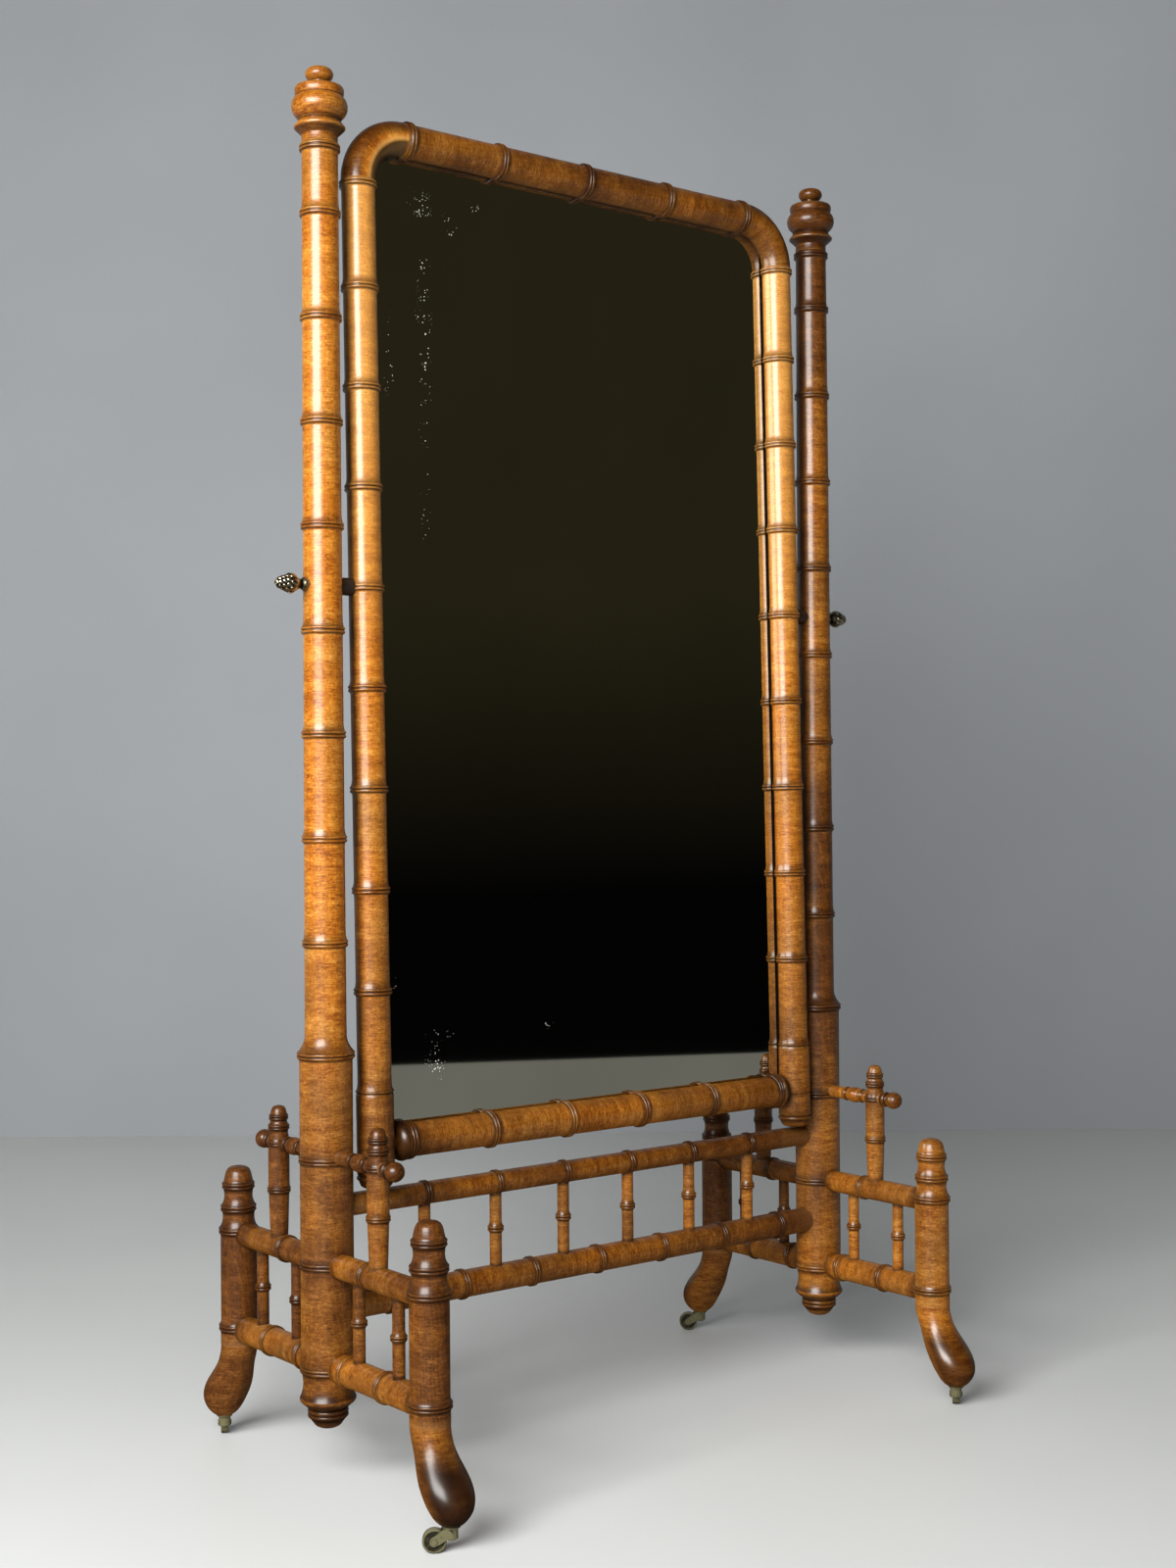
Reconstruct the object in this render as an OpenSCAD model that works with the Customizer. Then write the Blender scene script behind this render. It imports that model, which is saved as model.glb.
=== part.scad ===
// Cheval mirror in turned faux bamboo: a stand on brass casters and a mirror that tilts between its posts.
// Millimetres, Z up, floor at z = 0, X across the width, the glass faces -Y.

/* [Posts] */
// Distance between the axes of the two posts
post_spacing = 916; // [860:2:980]
// Height of the lowest ring on a post
low_ring_z = 163; // [155:1:175]
// Distance between rings on the thick lower shaft
low_ring_pitch = 139; // [132:1:146]
// Rings on the thick lower shaft, with the one where the post steps in
low_ring_count = 4; // [4:1:4]
// Distance from the step ring to the first ring of the thin shaft
step_to_ring = 148.5; // [135:0.5:160]
// Distance between rings on the thin upper shaft
high_ring_pitch = 139.3; // [130:0.1:150]
// Evenly spaced rings on the thin upper shaft
high_ring_count = 8; // [7:1:9]
// Distance from the last of them to the cap ring under the finial
cap_ring_rise = 87.5; // [70:0.5:110]
// Radius of the thick lower shaft
post_low_r = 35.5; // [33:0.5:38]
// Radius of the thin shaft just above the step ring
post_mid_r = 28; // [27:0.1:29]
// Radius of the thin shaft at its top
post_top_r = 24.2; // [23:0.1:26]
// Height of the drop's tip above the floor
drop_tip_z = 84; // [77:1:90]
// Radius of the drop's wide flange
drop_flange_r = 37.6; // [36.6:0.1:40]

/* [Rings] */
// How far a ring stands out of a post's thin shaft
ring_proud = 3.3; // [2.5:0.1:4]
// How far a ring stands out of the thick shaft
low_ring_proud = 1.9; // [1.5:0.1:3]
// Half the height of one bead of a ring
bead_half = 2.1; // [1.6:0.1:2.4]
// Depth of the groove between a ring's two beads
bead_depth = 1.6; // [1:0.1:1.8]
// Length of the flare that leads into a ring
flare_len = 11; // [8:0.5:13]

/* [Finials] */
// Largest radius of the finial's bulb
bulb_r = 37.7; // [35:0.1:41]
// Radius of the flat collar on the bulb
collar_r = 32.9; // [31:0.1:34.5]
// Radius of the button on top
button_r = 18.7; // [15:0.1:22]
// Radius of the finial's neck
finial_neck_r = 24.2; // [22:0.1:25.2]
// Radius of the peg under the finial
finial_peg_r = 10; // [8:0.5:13]
// Length of the peg under the finial
finial_peg_len = 38; // [25:1:60]

/* [Side frames] */
// Distance from a post's axis to a leg's axis
leg_reach = 244; // [236:1:256]
// Radius of a leg's shaft
leg_r = 25.5; // [24:0.1:27]
// Distance from the underside of the lower side rail down to the joint of leg and foot
leg_foot_drop = 3; // [2:0.5:7]
// Radius of the upper side rail
high_rail_r = 16.5; // [15.5:0.1:17.5]
// Radius of the lower side rail
low_rail_r = 19; // [18:0.1:20]
// Distance from a post's axis to the ring on the upper side rail
high_rail_ring_y = 105; // [102:0.5:106]
// Distance from a post's axis to the inner ring on the lower side rail
low_rail_ring_a = 56; // [52:0.5:60]
// Distance from a post's axis to the outer ring on the lower side rail
low_rail_ring_b = 146; // [110:0.5:152]
// Radius of a small side spindle
side_spindle_r = 8.3; // [7.5:0.1:9]
// Distance from a post's axis to the inner side spindle
side_spindle_a = 79.5; // [72:0.5:85]
// Distance from a post's axis to the outer side spindle
side_spindle_b = 174; // [164:0.5:182]
// Distance from a post's axis to the upright
upright_y = 127.5; // [125:0.5:133]
// Radius of the upright's shaft
upright_r = 14.6; // [13.6:0.1:15.2]
// Radius of the upright's foot
upright_foot_r = 12.2; // [10:0.1:12.6]
// Radius of the arm between post and upright
arm_r = 9.5; // [8.5:0.1:10]
// Distance from a post's axis to the bead on the arm
arm_bead_y = 75; // [60:0.5:95]
// Radius of the knob's ball
knob_r = 13; // [12:0.1:14]

/* [Feet and casters] */
// How far a foot kicks outward
foot_kick = 45.5; // [40:0.5:48]
// Radius of a foot's bulb
foot_bulb_r = 33; // [30:0.1:34]
// Height of the middle of a foot's bulb
foot_bulb_z = 76; // [70:0.5:80]
// Height of a foot's flat underside
foot_under_z = 33; // [31.8:0.1:36]
// Radius of a caster's wheel
wheel_r = 15; // [13:0.1:15.2]
// Width of a caster's wheel
wheel_w = 11; // [8:0.1:13]
// Distance from a caster's pintle to its axle
caster_trail = 21; // [20.8:0.1:22]
// Radius of a wheel's axle
axle_r = 2.2; // [1.5:0.1:2.6]
// Radius of the pintle that a fork turns on
pintle_r = 4; // [3:0.1:4.6]
// Thickness of a fork's cheek
cheek_t = 2.6; // [2:0.1:3]
// Radius of the plate under a foot
plate_r = 11; // [10:0.1:11.5]
// Turn of the front left caster, from +X
caster_turn_fl = 145; // [0:1:359]
// Turn of the back left caster, from +X
caster_turn_bl = 62; // [0:1:359]
// Turn of the front right caster, from +X
caster_turn_fr = 42; // [0:1:359]
// Turn of the back right caster, from +X
caster_turn_br = 139; // [0:1:359]

/* [Stretcher gallery] */
// Rise from the upper side rail to the upper stretcher
high_stretcher_rise = 72.5; // [66:0.5:76]
// Rise from the lower side rail to the lower stretcher
low_stretcher_rise = 72; // [64:0.5:76]
// Radius of the upper stretcher
high_stretcher_r = 15.5; // [14:0.1:16.5]
// Radius of the lower stretcher
low_stretcher_r = 19; // [17.5:0.1:20]
// Distance between the gallery's spindles
gallery_pitch = 121; // [110:0.5:126]
// Spindles in the gallery
gallery_count = 6; // [4:2:6]
// Radius of a gallery spindle
gallery_spindle_r = 8.6; // [7.5:0.1:9.5]

/* [Mirror frame] */
// Gap between the thick shaft of a post and the thick foot of the stile beside it
stile_clearance = 6; // [3.5:0.5:14]
// Radius of a stile and of the top rail and elbows
stile_r = 23; // [22:0.1:24]
// Radius of a stile's lowest part
stile_low_r = 25.5; // [24.6:0.1:26.5]
// How far a ring stands out of a stile or rail
frame_ring_proud = 3.2; // [2.5:0.1:4]
// Gap between the upper stretcher and the end of a stile
stile_end_gap = 4.5; // [3.5:0.5:10]
// Height of the bottom rail's axis above a stile's end
bottom_rail_rise = 59.5; // [54:0.5:66]
// Height of the step ring above the bottom rail's axis
stile_step_rise = 69.5; // [60:0.5:80]
// Distance between the rings of a stile
stile_ring_pitch = 136.4; // [131:0.1:142]
// Evenly spaced rings on a stile, with the step ring
stile_ring_count = 9; // [8:1:9]
// Distance from the last of them to the ring under the elbow
stile_cap_rise = 141.6; // [110:0.1:160]
// Bend radius of an elbow
elbow_r = 70; // [60:0.5:80]
// Length of the bottom rail's domed end beyond its last ring
bottom_end_len = 22.8; // [20:0.1:27]
// How far the mirror leans back at rest, in degrees
mirror_lean = 1.25; // [0:0.05:3]

/* [Glass and back] */
// Distance from the frame's middle plane back to the face of the glass
glass_set_back = 10; // [7:0.1:11]
// Thickness of the mirror glass
glass_t = 5; // [3:0.1:5.4]
// Distance from the frame's axis line to the edge of the glass rebate
glass_rebate = 12; // [10.5:0.1:14]
// Thickness of the backboard
board_t = 5.5; // [4:0.1:7]
// Distance from the frame's axis line to the edge of the backboard rebate
board_rebate = 2.5; // [1.5:0.1:3]
// Radius of a backboard screw's shank
screw_r = 1.8; // [1.5:0.1:2.2]
// Length of a backboard screw under its head
screw_len = 15; // [11:0.5:18]

/* [Pivot] */
// Height of the pivot above the nearest post ring below it
pivot_rise = 60.6; // [45:0.1:75]
// Radius of a thumbscrew's shank
shank_r = 4; // [3:0.1:5]
// Radius of the spacer between post and stile
spacer_r = 12; // [10:0.1:13]
// Largest radius of the thumbscrew's cone
cone_r = 13.6; // [12:0.1:15]
// Length of the thumbscrew's cone
cone_len = 36; // [32:0.5:40]
// Radius of the ball at the cone's foot
ball_r = 8.6; // [7.5:0.1:9.4]
// Side of the square pivot plate, which the spacer hides
pivot_plate_w = 16; // [14.5:0.5:16.5]
// Thickness of the pivot plate
pivot_plate_t = 2.5; // [2:0.1:3]

/* [Fits] */
// Glue gap round a part that is let into a socket
socket_gap = 0.1; // [0.05:0.01:0.3]
// Gap round a shaft that turns in its hole
run_gap = 0.05; // [0.02:0.01:0.1]
// Gap between faces of parts that move past each other
seat_gap = 0.3; // [0.2:0.05:0.6]
// Gap round the glass and the backboard in their rebates
glazing_gap = 0.4; // [0.2:0.1:1]

/* [Hidden] */
$fn = 64;
LEFT = -1;
RIGHT = 1;
FRONT = -1;
BACK = 1;

// Colours
maple = "#b9762f";
maple_dark = "#8a562a";
brass = "#8f7d4a";
ebony = "#2a1f1a";
silvering = "#2e2f2c";
pine = "#a58a62";
iron = "#5b5a56";

// Where the posts, rings and rails stand
post_x = post_spacing / 2;
step_ring_z = low_ring_z + (low_ring_count - 1) * low_ring_pitch;
first_high_z = step_ring_z + step_to_ring;
last_high_z = first_high_z + (high_ring_count - 1) * high_ring_pitch;
cap_ring_z = last_high_z + cap_ring_rise;
ring_half = 2 * bead_half + 0.3;
post_top_z = cap_ring_z + ring_half + 2.2;
low_rail_above_ring = 5;
high_rail_above_ring = 1;
arm_above_ring = 5.5;
low_rail_z = low_ring_z + low_rail_above_ring;
high_rail_z = low_ring_z + low_ring_pitch + high_rail_above_ring;
arm_z = low_ring_z + 2 * low_ring_pitch + arm_above_ring;
leg_foot_z = low_rail_z - low_rail_r - leg_foot_drop;
low_stretcher_z = low_rail_z + low_stretcher_rise;
high_stretcher_z = high_rail_z + high_stretcher_rise;
post_socket_floor = 14;
leg_socket_floor = 8;
spindle_seat = 9;

// Legs, uprights and knobs
leg_ring_above_rail = 1.5;
leg_bead_above_rail = 4;
leg_bead_pitch = 31.8;
leg_ring_proud = 3.1;
leg_cap_h = 27.6;
leg_bead_z = high_rail_z + leg_bead_above_rail;
leg_top_z = leg_bead_z + 2 * leg_bead_pitch + leg_cap_h;
leg_peg_r = 9;
leg_peg_len = 26;
upright_seat = 6;
upright_ring_drop = 65;
upright_top_rise = 51;
arm_end_y = upright_y + upright_r + 0.9;
arm_peg_r = 5;
arm_peg_len = 17;
knob_ball_y = arm_end_y + 24;
finial_h = 101.7;
finial_flange_r = 34.4;

// Feet and casters
foot_top_r = leg_r + 0.5;
foot_neck_r = 25.7;
foot_swell = 48;
foot_rings = 14;
foot_sides = 32;
pintle_y = leg_reach + foot_kick;
plate_t = 2.2;
boss_r = 8.2;
boss_top_z = foot_under_z - plate_t - seat_gap;
boss_h = 13;
rivet_t = 1.6;
stem_r = 3.6;
stem_len = 30;
wheel_side_gap = 0.4;
cheek_y = wheel_w / 2 + wheel_side_gap;
axle_head_r = 3.6;
axle_head_t = 1.2;
caster_turn = [caster_turn_fl, caster_turn_bl, caster_turn_fr, caster_turn_br];

// Mirror frame
stile_x = post_x - post_low_r - stile_clearance - stile_low_r;
stile_end_z = high_stretcher_z + high_stretcher_r + stile_end_gap;
bottom_rail_z = stile_end_z + bottom_rail_rise;
stile_step_z = bottom_rail_z + stile_step_rise;
stile_last_z = stile_step_z + (stile_ring_count - 1) * stile_ring_pitch;
stile_cap_z = stile_last_z + stile_cap_rise;
stile_top_z = stile_cap_z + ring_half + 1.2;
top_rail_z = stile_top_z + elbow_r;
top_rail_half = stile_x - elbow_r;
rail_end_margin = ring_half + 4.5;
bottom_rail_r = 23.4;
bottom_spigot_r = 12;
bottom_spigot_len = 13;
frame_dowel_r = 6;
frame_dowel_len = 44;
lean_turn = [-mirror_lean, 0, 0];

// Glass, backboard and screws
glass_y = glass_set_back;
board_y = glass_y + glass_t + seat_gap;
board_back_y = board_y + board_t;
rebate_reach = 17;
screw_line = (glass_rebate + board_rebate) / 2;
screw_head_r = 3.6;
screw_head_t = 1.8;
screw_low_z = stile_step_z + 1.2 * stile_r;
screw_high_z = stile_cap_z - 0.5 * stile_r;
stile_screws = 4;
rail_screws = 3;

// Pivot
pivot_ring = 3;
pivot_z = first_high_z + pivot_ring * high_ring_pitch + pivot_rise;
pivot_post_r = shaft_r(pivot_z);
spacer_recess = spacer_r + 0.6;
spacer_face = sqrt(pow(pivot_post_r, 2) - pow(spacer_recess, 2));
collar_recess = ball_r + 0.5;
collar_face = sqrt(pow(pivot_post_r, 2) - pow(collar_recess, 2));
plate_seat = stile_r - 3;
plate_face = plate_seat + pivot_plate_t;
nut_r = 7;
nut_len = 12;
shank_tip = plate_seat - nut_len - 1.5;
spacer_len = post_x - spacer_face - seat_gap - stile_x - plate_face;

// Radius of a post's thin shaft at a height
function shaft_r(z) = post_mid_r - (post_mid_r - post_top_r) * (z - step_ring_z) / (post_top_z - step_ring_z);

// One rounded bead as points [radius, height]
function bead(peak, z, half = bead_half, depth = bead_depth) =
    [for (a = [-90, -40, 0, 40, 90]) [peak - depth * (1 - cos(a)), z + half * sin(a)]];

// Two beads with a groove between them
function beads(peak, z, half = bead_half, depth = bead_depth) =
    concat(bead(peak, z - half - 0.3, half, depth), bead(peak, z + half + 0.3, half, depth));

// A hollow curve from radius r0 at height z0 to radius r1 at z0 + len
function sweep_up(r0, r1, z0, len) =
    [for (t = [0.3, 0.6, 1]) [r1 + (r0 - r1) * pow(1 - t, 2), z0 + t * len]];

// The same curve met from its thin end
function sweep_down(r0, r1, z0, len) =
    [for (t = [1, 0.6, 0.3]) [r1 + (r0 - r1) * pow(1 - t, 2), z0 - t * len]];

// A ring with its beads: below is the radius under it, above the radius over it
function ring(z, below, above, peak, up = flare_len, down = 3, half = bead_half, depth = bead_depth) =
    concat(
        sweep_down(peak - depth, below, z - 2 * half - 0.3, down),
        beads(peak, z, half, depth),
        sweep_up(peak - depth, above, z + 2 * half + 0.3, up));

// Part of a circle as points [radius, height], round [r, z], between two angles
function arc(r, z, size, from, to, steps = 6, squash = 1) =
    [for (i = [0 : steps]) let (a = from + (to - from) * i / steps) [r + size * cos(a), z + squash * size * sin(a)]];

// A solid turned about Z from its outline
module turned(points) {
    rotate_extrude() polygon(points);
}

// The same solid with its axis along Y, from the axis of a post outward to the back
module turned_y(points) {
    rotate([-90, 0, 0]) turned(points);
}

// The same solid with its axis along X
module turned_x(points) {
    rotate([0, 90, 0]) turned(points);
}

module rod_x(r, x0, x1) {
    translate([x0, 0, 0]) rotate([0, 90, 0]) cylinder(r = r, h = x1 - x0);
}

module rod_y(r, y0, y1) {
    translate([0, y0, 0]) rotate([-90, 0, 0]) cylinder(r = r, h = y1 - y0);
}

// Puts a piece that is drawn towards the back of the right post at one of the four corners
module corner(side, end) {
    translate([side * post_x, 0, 0]) mirror([0, end == FRONT ? 1 : 0, 0]) children();
}

// Puts a piece of the mirror, drawn upright, at its lean about the pivot
module hung() {
    translate([0, 0, pivot_z]) rotate(lean_turn) translate([0, 0, -pivot_z]) children();
}

// Mirrors a piece that is drawn on the right to the side that is named
module sided(side) {
    mirror([side == LEFT ? 1 : 0, 0, 0]) children();
}

// Posts

function post_low_rings() = [for (i = [0 : low_ring_count - 2]) low_ring_z + i * low_ring_pitch];
function post_high_rings() = [for (i = [0 : high_ring_count - 1]) first_high_z + i * high_ring_pitch];

function drop_points() = concat(
    [[0, drop_tip_z]],
    arc(0, drop_tip_z + 9, 20, -66, -12, 4, 0.5),
    bead(27.2, drop_tip_z + 17, 2.6, 1.8),
    bead(27.2, drop_tip_z + 23, 2.8, 1.8),
    [[25.4, drop_tip_z + 26.6], [29.4, drop_tip_z + 29.6], [drop_flange_r - 1.8, drop_tip_z + 35]],
    [[drop_flange_r - 0.5, drop_tip_z + 36.6], [drop_flange_r, drop_tip_z + 38], [drop_flange_r, drop_tip_z + 40.4]],
    [[drop_flange_r - 1.1, drop_tip_z + 42.2], [drop_flange_r - 2.6, drop_tip_z + 46]],
    [[33.4, drop_tip_z + 52], [32.8, drop_tip_z + 61]]);

function post_points() = concat(
    drop_points(),
    ring(low_ring_z, 33.6, post_low_r, post_low_r + low_ring_proud, 8, 8),
    [for (z = post_low_rings()) if (z > low_ring_z)
        each ring(z, post_low_r, post_low_r, post_low_r + low_ring_proud, 8, 4)],
    ring(step_ring_z, post_low_r, shaft_r(step_ring_z + 22), post_low_r + ring_proud, 22, 4),
    [for (z = post_high_rings()) each ring(z, shaft_r(z - 8), shaft_r(z + 14), shaft_r(z) + ring_proud)],
    ring(cap_ring_z, shaft_r(cap_ring_z), finial_neck_r + 0.6, post_top_r + ring_proud, 2.2),
    [[0, post_top_z]]);

module post(side) {
    color(maple) translate([side * post_x, 0, 0]) difference() {
        turned(post_points());
        translate([0, 0, post_top_z - finial_peg_len - 1])
            cylinder(r = finial_peg_r + socket_gap, h = finial_peg_len + 2);
        for (end = [FRONT, BACK]) mirror([0, end == FRONT ? 1 : 0, 0]) {
            translate([0, 0, low_rail_z]) rod_y(low_rail_r + socket_gap, post_socket_floor, 60);
            translate([0, 0, high_rail_z]) rod_y(high_rail_r + socket_gap, post_socket_floor, 60);
            translate([0, 0, arm_z]) rod_y(arm_r + socket_gap, post_socket_floor, 60);
        }
        mirror([side == RIGHT ? 1 : 0, 0, 0]) {
            translate([0, 0, low_stretcher_z]) rod_x(low_stretcher_r + socket_gap, post_socket_floor, 60);
            translate([0, 0, high_stretcher_z]) rod_x(high_stretcher_r + socket_gap, post_socket_floor, 60);
            translate([0, 0, pivot_z]) {
                rod_x(shank_r + run_gap, -60, 60);
                rod_x(spacer_recess, spacer_face, 60);
                rod_x(collar_recess, -60, -collar_face);
            }
        }
    }
}

// Finials

function finial_points() = let (t = post_top_z) concat(
    [[0, t - finial_peg_len], [finial_peg_r, t - finial_peg_len], [finial_peg_r, t]],
    [[finial_neck_r + 0.6, t], [finial_neck_r, t + 2], [finial_neck_r, t + 10], [finial_neck_r + 1.6, t + 12]],
    [[finial_flange_r - 2.6, t + 17.6], [finial_flange_r, t + 20], [finial_flange_r, t + 21.8]],
    [[32, t + 24.6], [29.5, t + 27.6], [28.2, t + 30.2], [29, t + 31.4], [28.6, t + 32.6]],
    arc(bulb_r - 17.6, t + 48.8, 17.6, -54, 44, 8),
    [[collar_r - 1.6, t + 62.2], [collar_r - 0.6, t + 64], [collar_r, t + 68], [collar_r, t + 72]],
    [[collar_r - 1.4, t + 74.8], [collar_r - 4.4, t + 76], [12, t + 76.6], [10.8, t + 79], [11, t + 83]],
    arc(button_r - 9, t + 92.4, 9, -62, 84, 8),
    [[0, t + finial_h]]);

module finial(side) {
    color(maple) translate([side * post_x, 0, 0]) turned(finial_points());
}

// Legs

function leg_points() = concat(
    [[0, leg_foot_z - leg_peg_len], [leg_peg_r, leg_foot_z - leg_peg_len], [leg_peg_r, leg_foot_z]],
    [[foot_top_r, leg_foot_z]],
    ring(low_rail_z + leg_ring_above_rail, foot_top_r, leg_r, leg_r + leg_ring_proud, 6, 4),
    ring(leg_bead_z, leg_r, 22.2, leg_r + 2.4, 14, 4),
    ring(leg_bead_z + leg_bead_pitch, 22.4, 19.9, 25.3, 13, 6),
    ring(leg_bead_z + 2 * leg_bead_pitch, 20.2, 20, 23.2, 4.5, 6),
    [[19.3, leg_top_z - 15.4], [18.4, leg_top_z - 11.4], [17.2, leg_top_z - 7.4], [15, leg_top_z - 3.9]],
    [[11.4, leg_top_z - 1.6], [6, leg_top_z - 0.3], [0, leg_top_z]]);

module leg(side, end) {
    color(maple_dark) corner(side, end) difference() {
        translate([0, leg_reach, 0]) turned(leg_points());
        translate([0, 0, low_rail_z]) rod_y(low_rail_r + socket_gap, leg_reach / 2, leg_reach - leg_socket_floor);
        translate([0, 0, high_rail_z]) rod_y(high_rail_r + socket_gap, leg_reach / 2, leg_reach - leg_socket_floor);
    }
}

// Feet: a bent club, as round slices between the leg and a flat underside

function foot_shift(z) =
    let (t = min(1, (leg_foot_z - z) / (leg_foot_z - foot_under_z) / 0.9))
    foot_kick * t * t * (3 - 2 * t);

function foot_radius(z) = z < foot_bulb_z
    ? foot_bulb_r * sqrt(1 - pow((foot_bulb_z - z) / (foot_bulb_z - foot_under_z + 3), 2))
    : let (t = min(1, (z - foot_bulb_z) / foot_swell))
        foot_bulb_r - (foot_bulb_r - foot_neck_r) * (1 - cos(180 * t)) / 2;

function foot_level(i) = let (u = i / (foot_rings - 1))
    leg_foot_z - (leg_foot_z - foot_under_z) * (0.55 * u + 0.45 * sin(90 * u));

function foot_slice(i) = let (z = foot_level(i), r = i == 0 ? foot_top_r : foot_radius(z))
    [for (k = [0 : foot_sides - 1]) let (a = 360 * k / foot_sides)
        [r * cos(a), leg_reach + foot_shift(z) + r * sin(a), z]];

module foot_body() {
    points = [for (i = [0 : foot_rings - 1]) each foot_slice(i)];
    last = (foot_rings - 1) * foot_sides;
    walls = [for (i = [0 : foot_rings - 2]) for (k = [0 : foot_sides - 1])
        let (a = i * foot_sides + k, b = i * foot_sides + (k + 1) % foot_sides)
        each [[a, b, b + foot_sides], [a, b + foot_sides, a + foot_sides]]];
    top = [for (k = [foot_sides - 1 : -1 : 0]) k];
    bottom = [for (k = [0 : foot_sides - 1]) last + k];
    polyhedron(points, concat(walls, [top], [bottom]));
}

module foot(side, end) {
    color(maple_dark) corner(side, end) difference() {
        foot_body();
        translate([0, leg_reach, leg_foot_z - leg_peg_len - 0.5])
            cylinder(r = leg_peg_r + socket_gap, h = leg_peg_len + 2);
        translate([0, pintle_y, foot_under_z - 1])
            cylinder(r = stem_r + socket_gap, h = stem_len + 1.5);
    }
}

// Side rails

function high_rail_points() = concat(
    [[0, post_socket_floor], [high_rail_r, post_socket_floor]],
    ring(high_rail_ring_y, high_rail_r, high_rail_r, high_rail_r + 2.4, 6, 4, 1.8),
    [[high_rail_r, leg_reach - leg_socket_floor], [0, leg_reach - leg_socket_floor]]);

function low_rail_points() = concat(
    [[0, post_socket_floor], [low_rail_r, post_socket_floor]],
    ring(low_rail_ring_a, low_rail_r, low_rail_r, low_rail_r + 2.4, 6, 4, 1.8),
    ring(low_rail_ring_b, low_rail_r, low_rail_r, low_rail_r + 2.4, 6, 4, 1.8),
    [[low_rail_r, leg_reach - leg_socket_floor], [0, leg_reach - leg_socket_floor]]);

module upper_rail(side, end) {
    color(maple) corner(side, end) difference() {
        translate([0, 0, high_rail_z]) turned_y(high_rail_points());
        translate([0, upright_y, high_rail_z + upright_seat])
            cylinder(r = upright_foot_r + socket_gap, h = 30);
        for (y = [side_spindle_a, side_spindle_b])
            translate([0, y, high_rail_z - high_rail_r + spindle_seat - 30])
                cylinder(r = side_spindle_r + socket_gap, h = 30);
    }
}

module lower_rail(side, end) {
    color(maple) corner(side, end) difference() {
        translate([0, 0, low_rail_z]) turned_y(low_rail_points());
        for (y = [side_spindle_a, side_spindle_b])
            translate([0, y, low_rail_z + low_rail_r - spindle_seat])
                cylinder(r = side_spindle_r + socket_gap, h = 30);
    }
}

// A thin turned spindle with one ring, between two heights
function spindle_points(r, from, to, proud) = let (middle = (from + to) / 2 + 1)
    concat([[0, from], [r, from]], ring(middle, r, r, r + proud, 7, 4, 1.7, 1.3), [[r, to], [0, to]]);

module side_spindles() {
    color(maple) for (side = [LEFT, RIGHT]) for (end = [FRONT, BACK]) corner(side, end)
        for (y = [side_spindle_a, side_spindle_b]) translate([0, y, 0])
            turned(spindle_points(side_spindle_r, low_rail_z + low_rail_r - spindle_seat,
                high_rail_z - high_rail_r + spindle_seat, 2.9));
}

// Uprights with the arms that pass through them

function upright_points() = let (ring_z = arm_z - upright_ring_drop, top = arm_z + upright_top_rise) concat(
    [[0, high_rail_z + upright_seat], [upright_foot_r, high_rail_z + upright_seat]],
    [[upright_foot_r, high_rail_z + high_rail_r]],
    ring(ring_z, upright_r - 0.6, upright_r, upright_r + 1.7, 6, 4, 1.6, 1.2),
    ring(arm_z - 0.5, upright_r, upright_r - 0.6, upright_r + 1.5, 4, 4, 1.6, 1.2),
    ring(top - 29.5, 12.6, 11.4, 14.9, 6, 4, 1.6, 1.2),
    ring(top - 15.8, 11.4, 11, 13.4, 2.6, 3, 1.6, 1.2),
    [[10.3, top - 7], [9.2, top - 3.6], [7.2, top - 1.3], [3.8, top - 0.2], [0, top]]);

module upright(side, end) {
    color(maple) corner(side, end) difference() {
        translate([0, upright_y, 0]) turned(upright_points());
        translate([0, 0, arm_z]) rod_y(arm_r + socket_gap, upright_y - 30, upright_y + 30);
    }
}

function arm_points() = concat(
    [[0, post_socket_floor], [arm_r, post_socket_floor]],
    sweep_down(arm_r + 0.8, arm_r, arm_bead_y - 3, 5),
    bead(arm_r + 2.6, arm_bead_y, 3, 1.9),
    sweep_up(arm_r + 0.8, arm_r, arm_bead_y + 3, 5),
    [[arm_r, arm_end_y], [arm_peg_r, arm_end_y]],
    [[arm_peg_r, arm_end_y + arm_peg_len], [0, arm_end_y + arm_peg_len]]);

module arm(side, end) {
    color(maple) corner(side, end) translate([0, 0, arm_z]) turned_y(arm_points());
}

function knob_points() = concat(
    [[0, arm_end_y], [arm_r, arm_end_y], [arm_r, arm_end_y + 4.4]],
    bead(arm_r + 2.1, arm_end_y + 8.6, 3.2, 1.9),
    [[arm_r - 0.7, arm_end_y + 12.6]],
    arc(0, knob_ball_y, knob_r, -48, 70, 8),
    [[0, knob_ball_y + knob_r + 0.6]]);

module arm_knobs() {
    color(maple_dark) for (side = [LEFT, RIGHT]) for (end = [FRONT, BACK]) corner(side, end)
        translate([0, 0, arm_z]) difference() {
            turned_y(knob_points());
            rod_y(arm_peg_r + socket_gap, arm_end_y - 1, arm_end_y + arm_peg_len + 0.4);
        }
}

// Stretcher gallery

function gallery_x(i) = (i - (gallery_count - 1) / 2) * gallery_pitch;
stretcher_half = post_x - post_socket_floor;
high_stretcher_rings = [for (i = [0 : gallery_count - 1]) gallery_x(i)];
low_stretcher_rings = [for (i = [0 : gallery_count]) gallery_x(i) - gallery_pitch / 2];

function stretcher_points(r, rings, proud) = concat(
    [[0, -stretcher_half], [r, -stretcher_half]],
    [for (x = rings) each ring(x, r, r, r + proud, 6, 4, 1.8)],
    [[r, stretcher_half], [0, stretcher_half]]);

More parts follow.
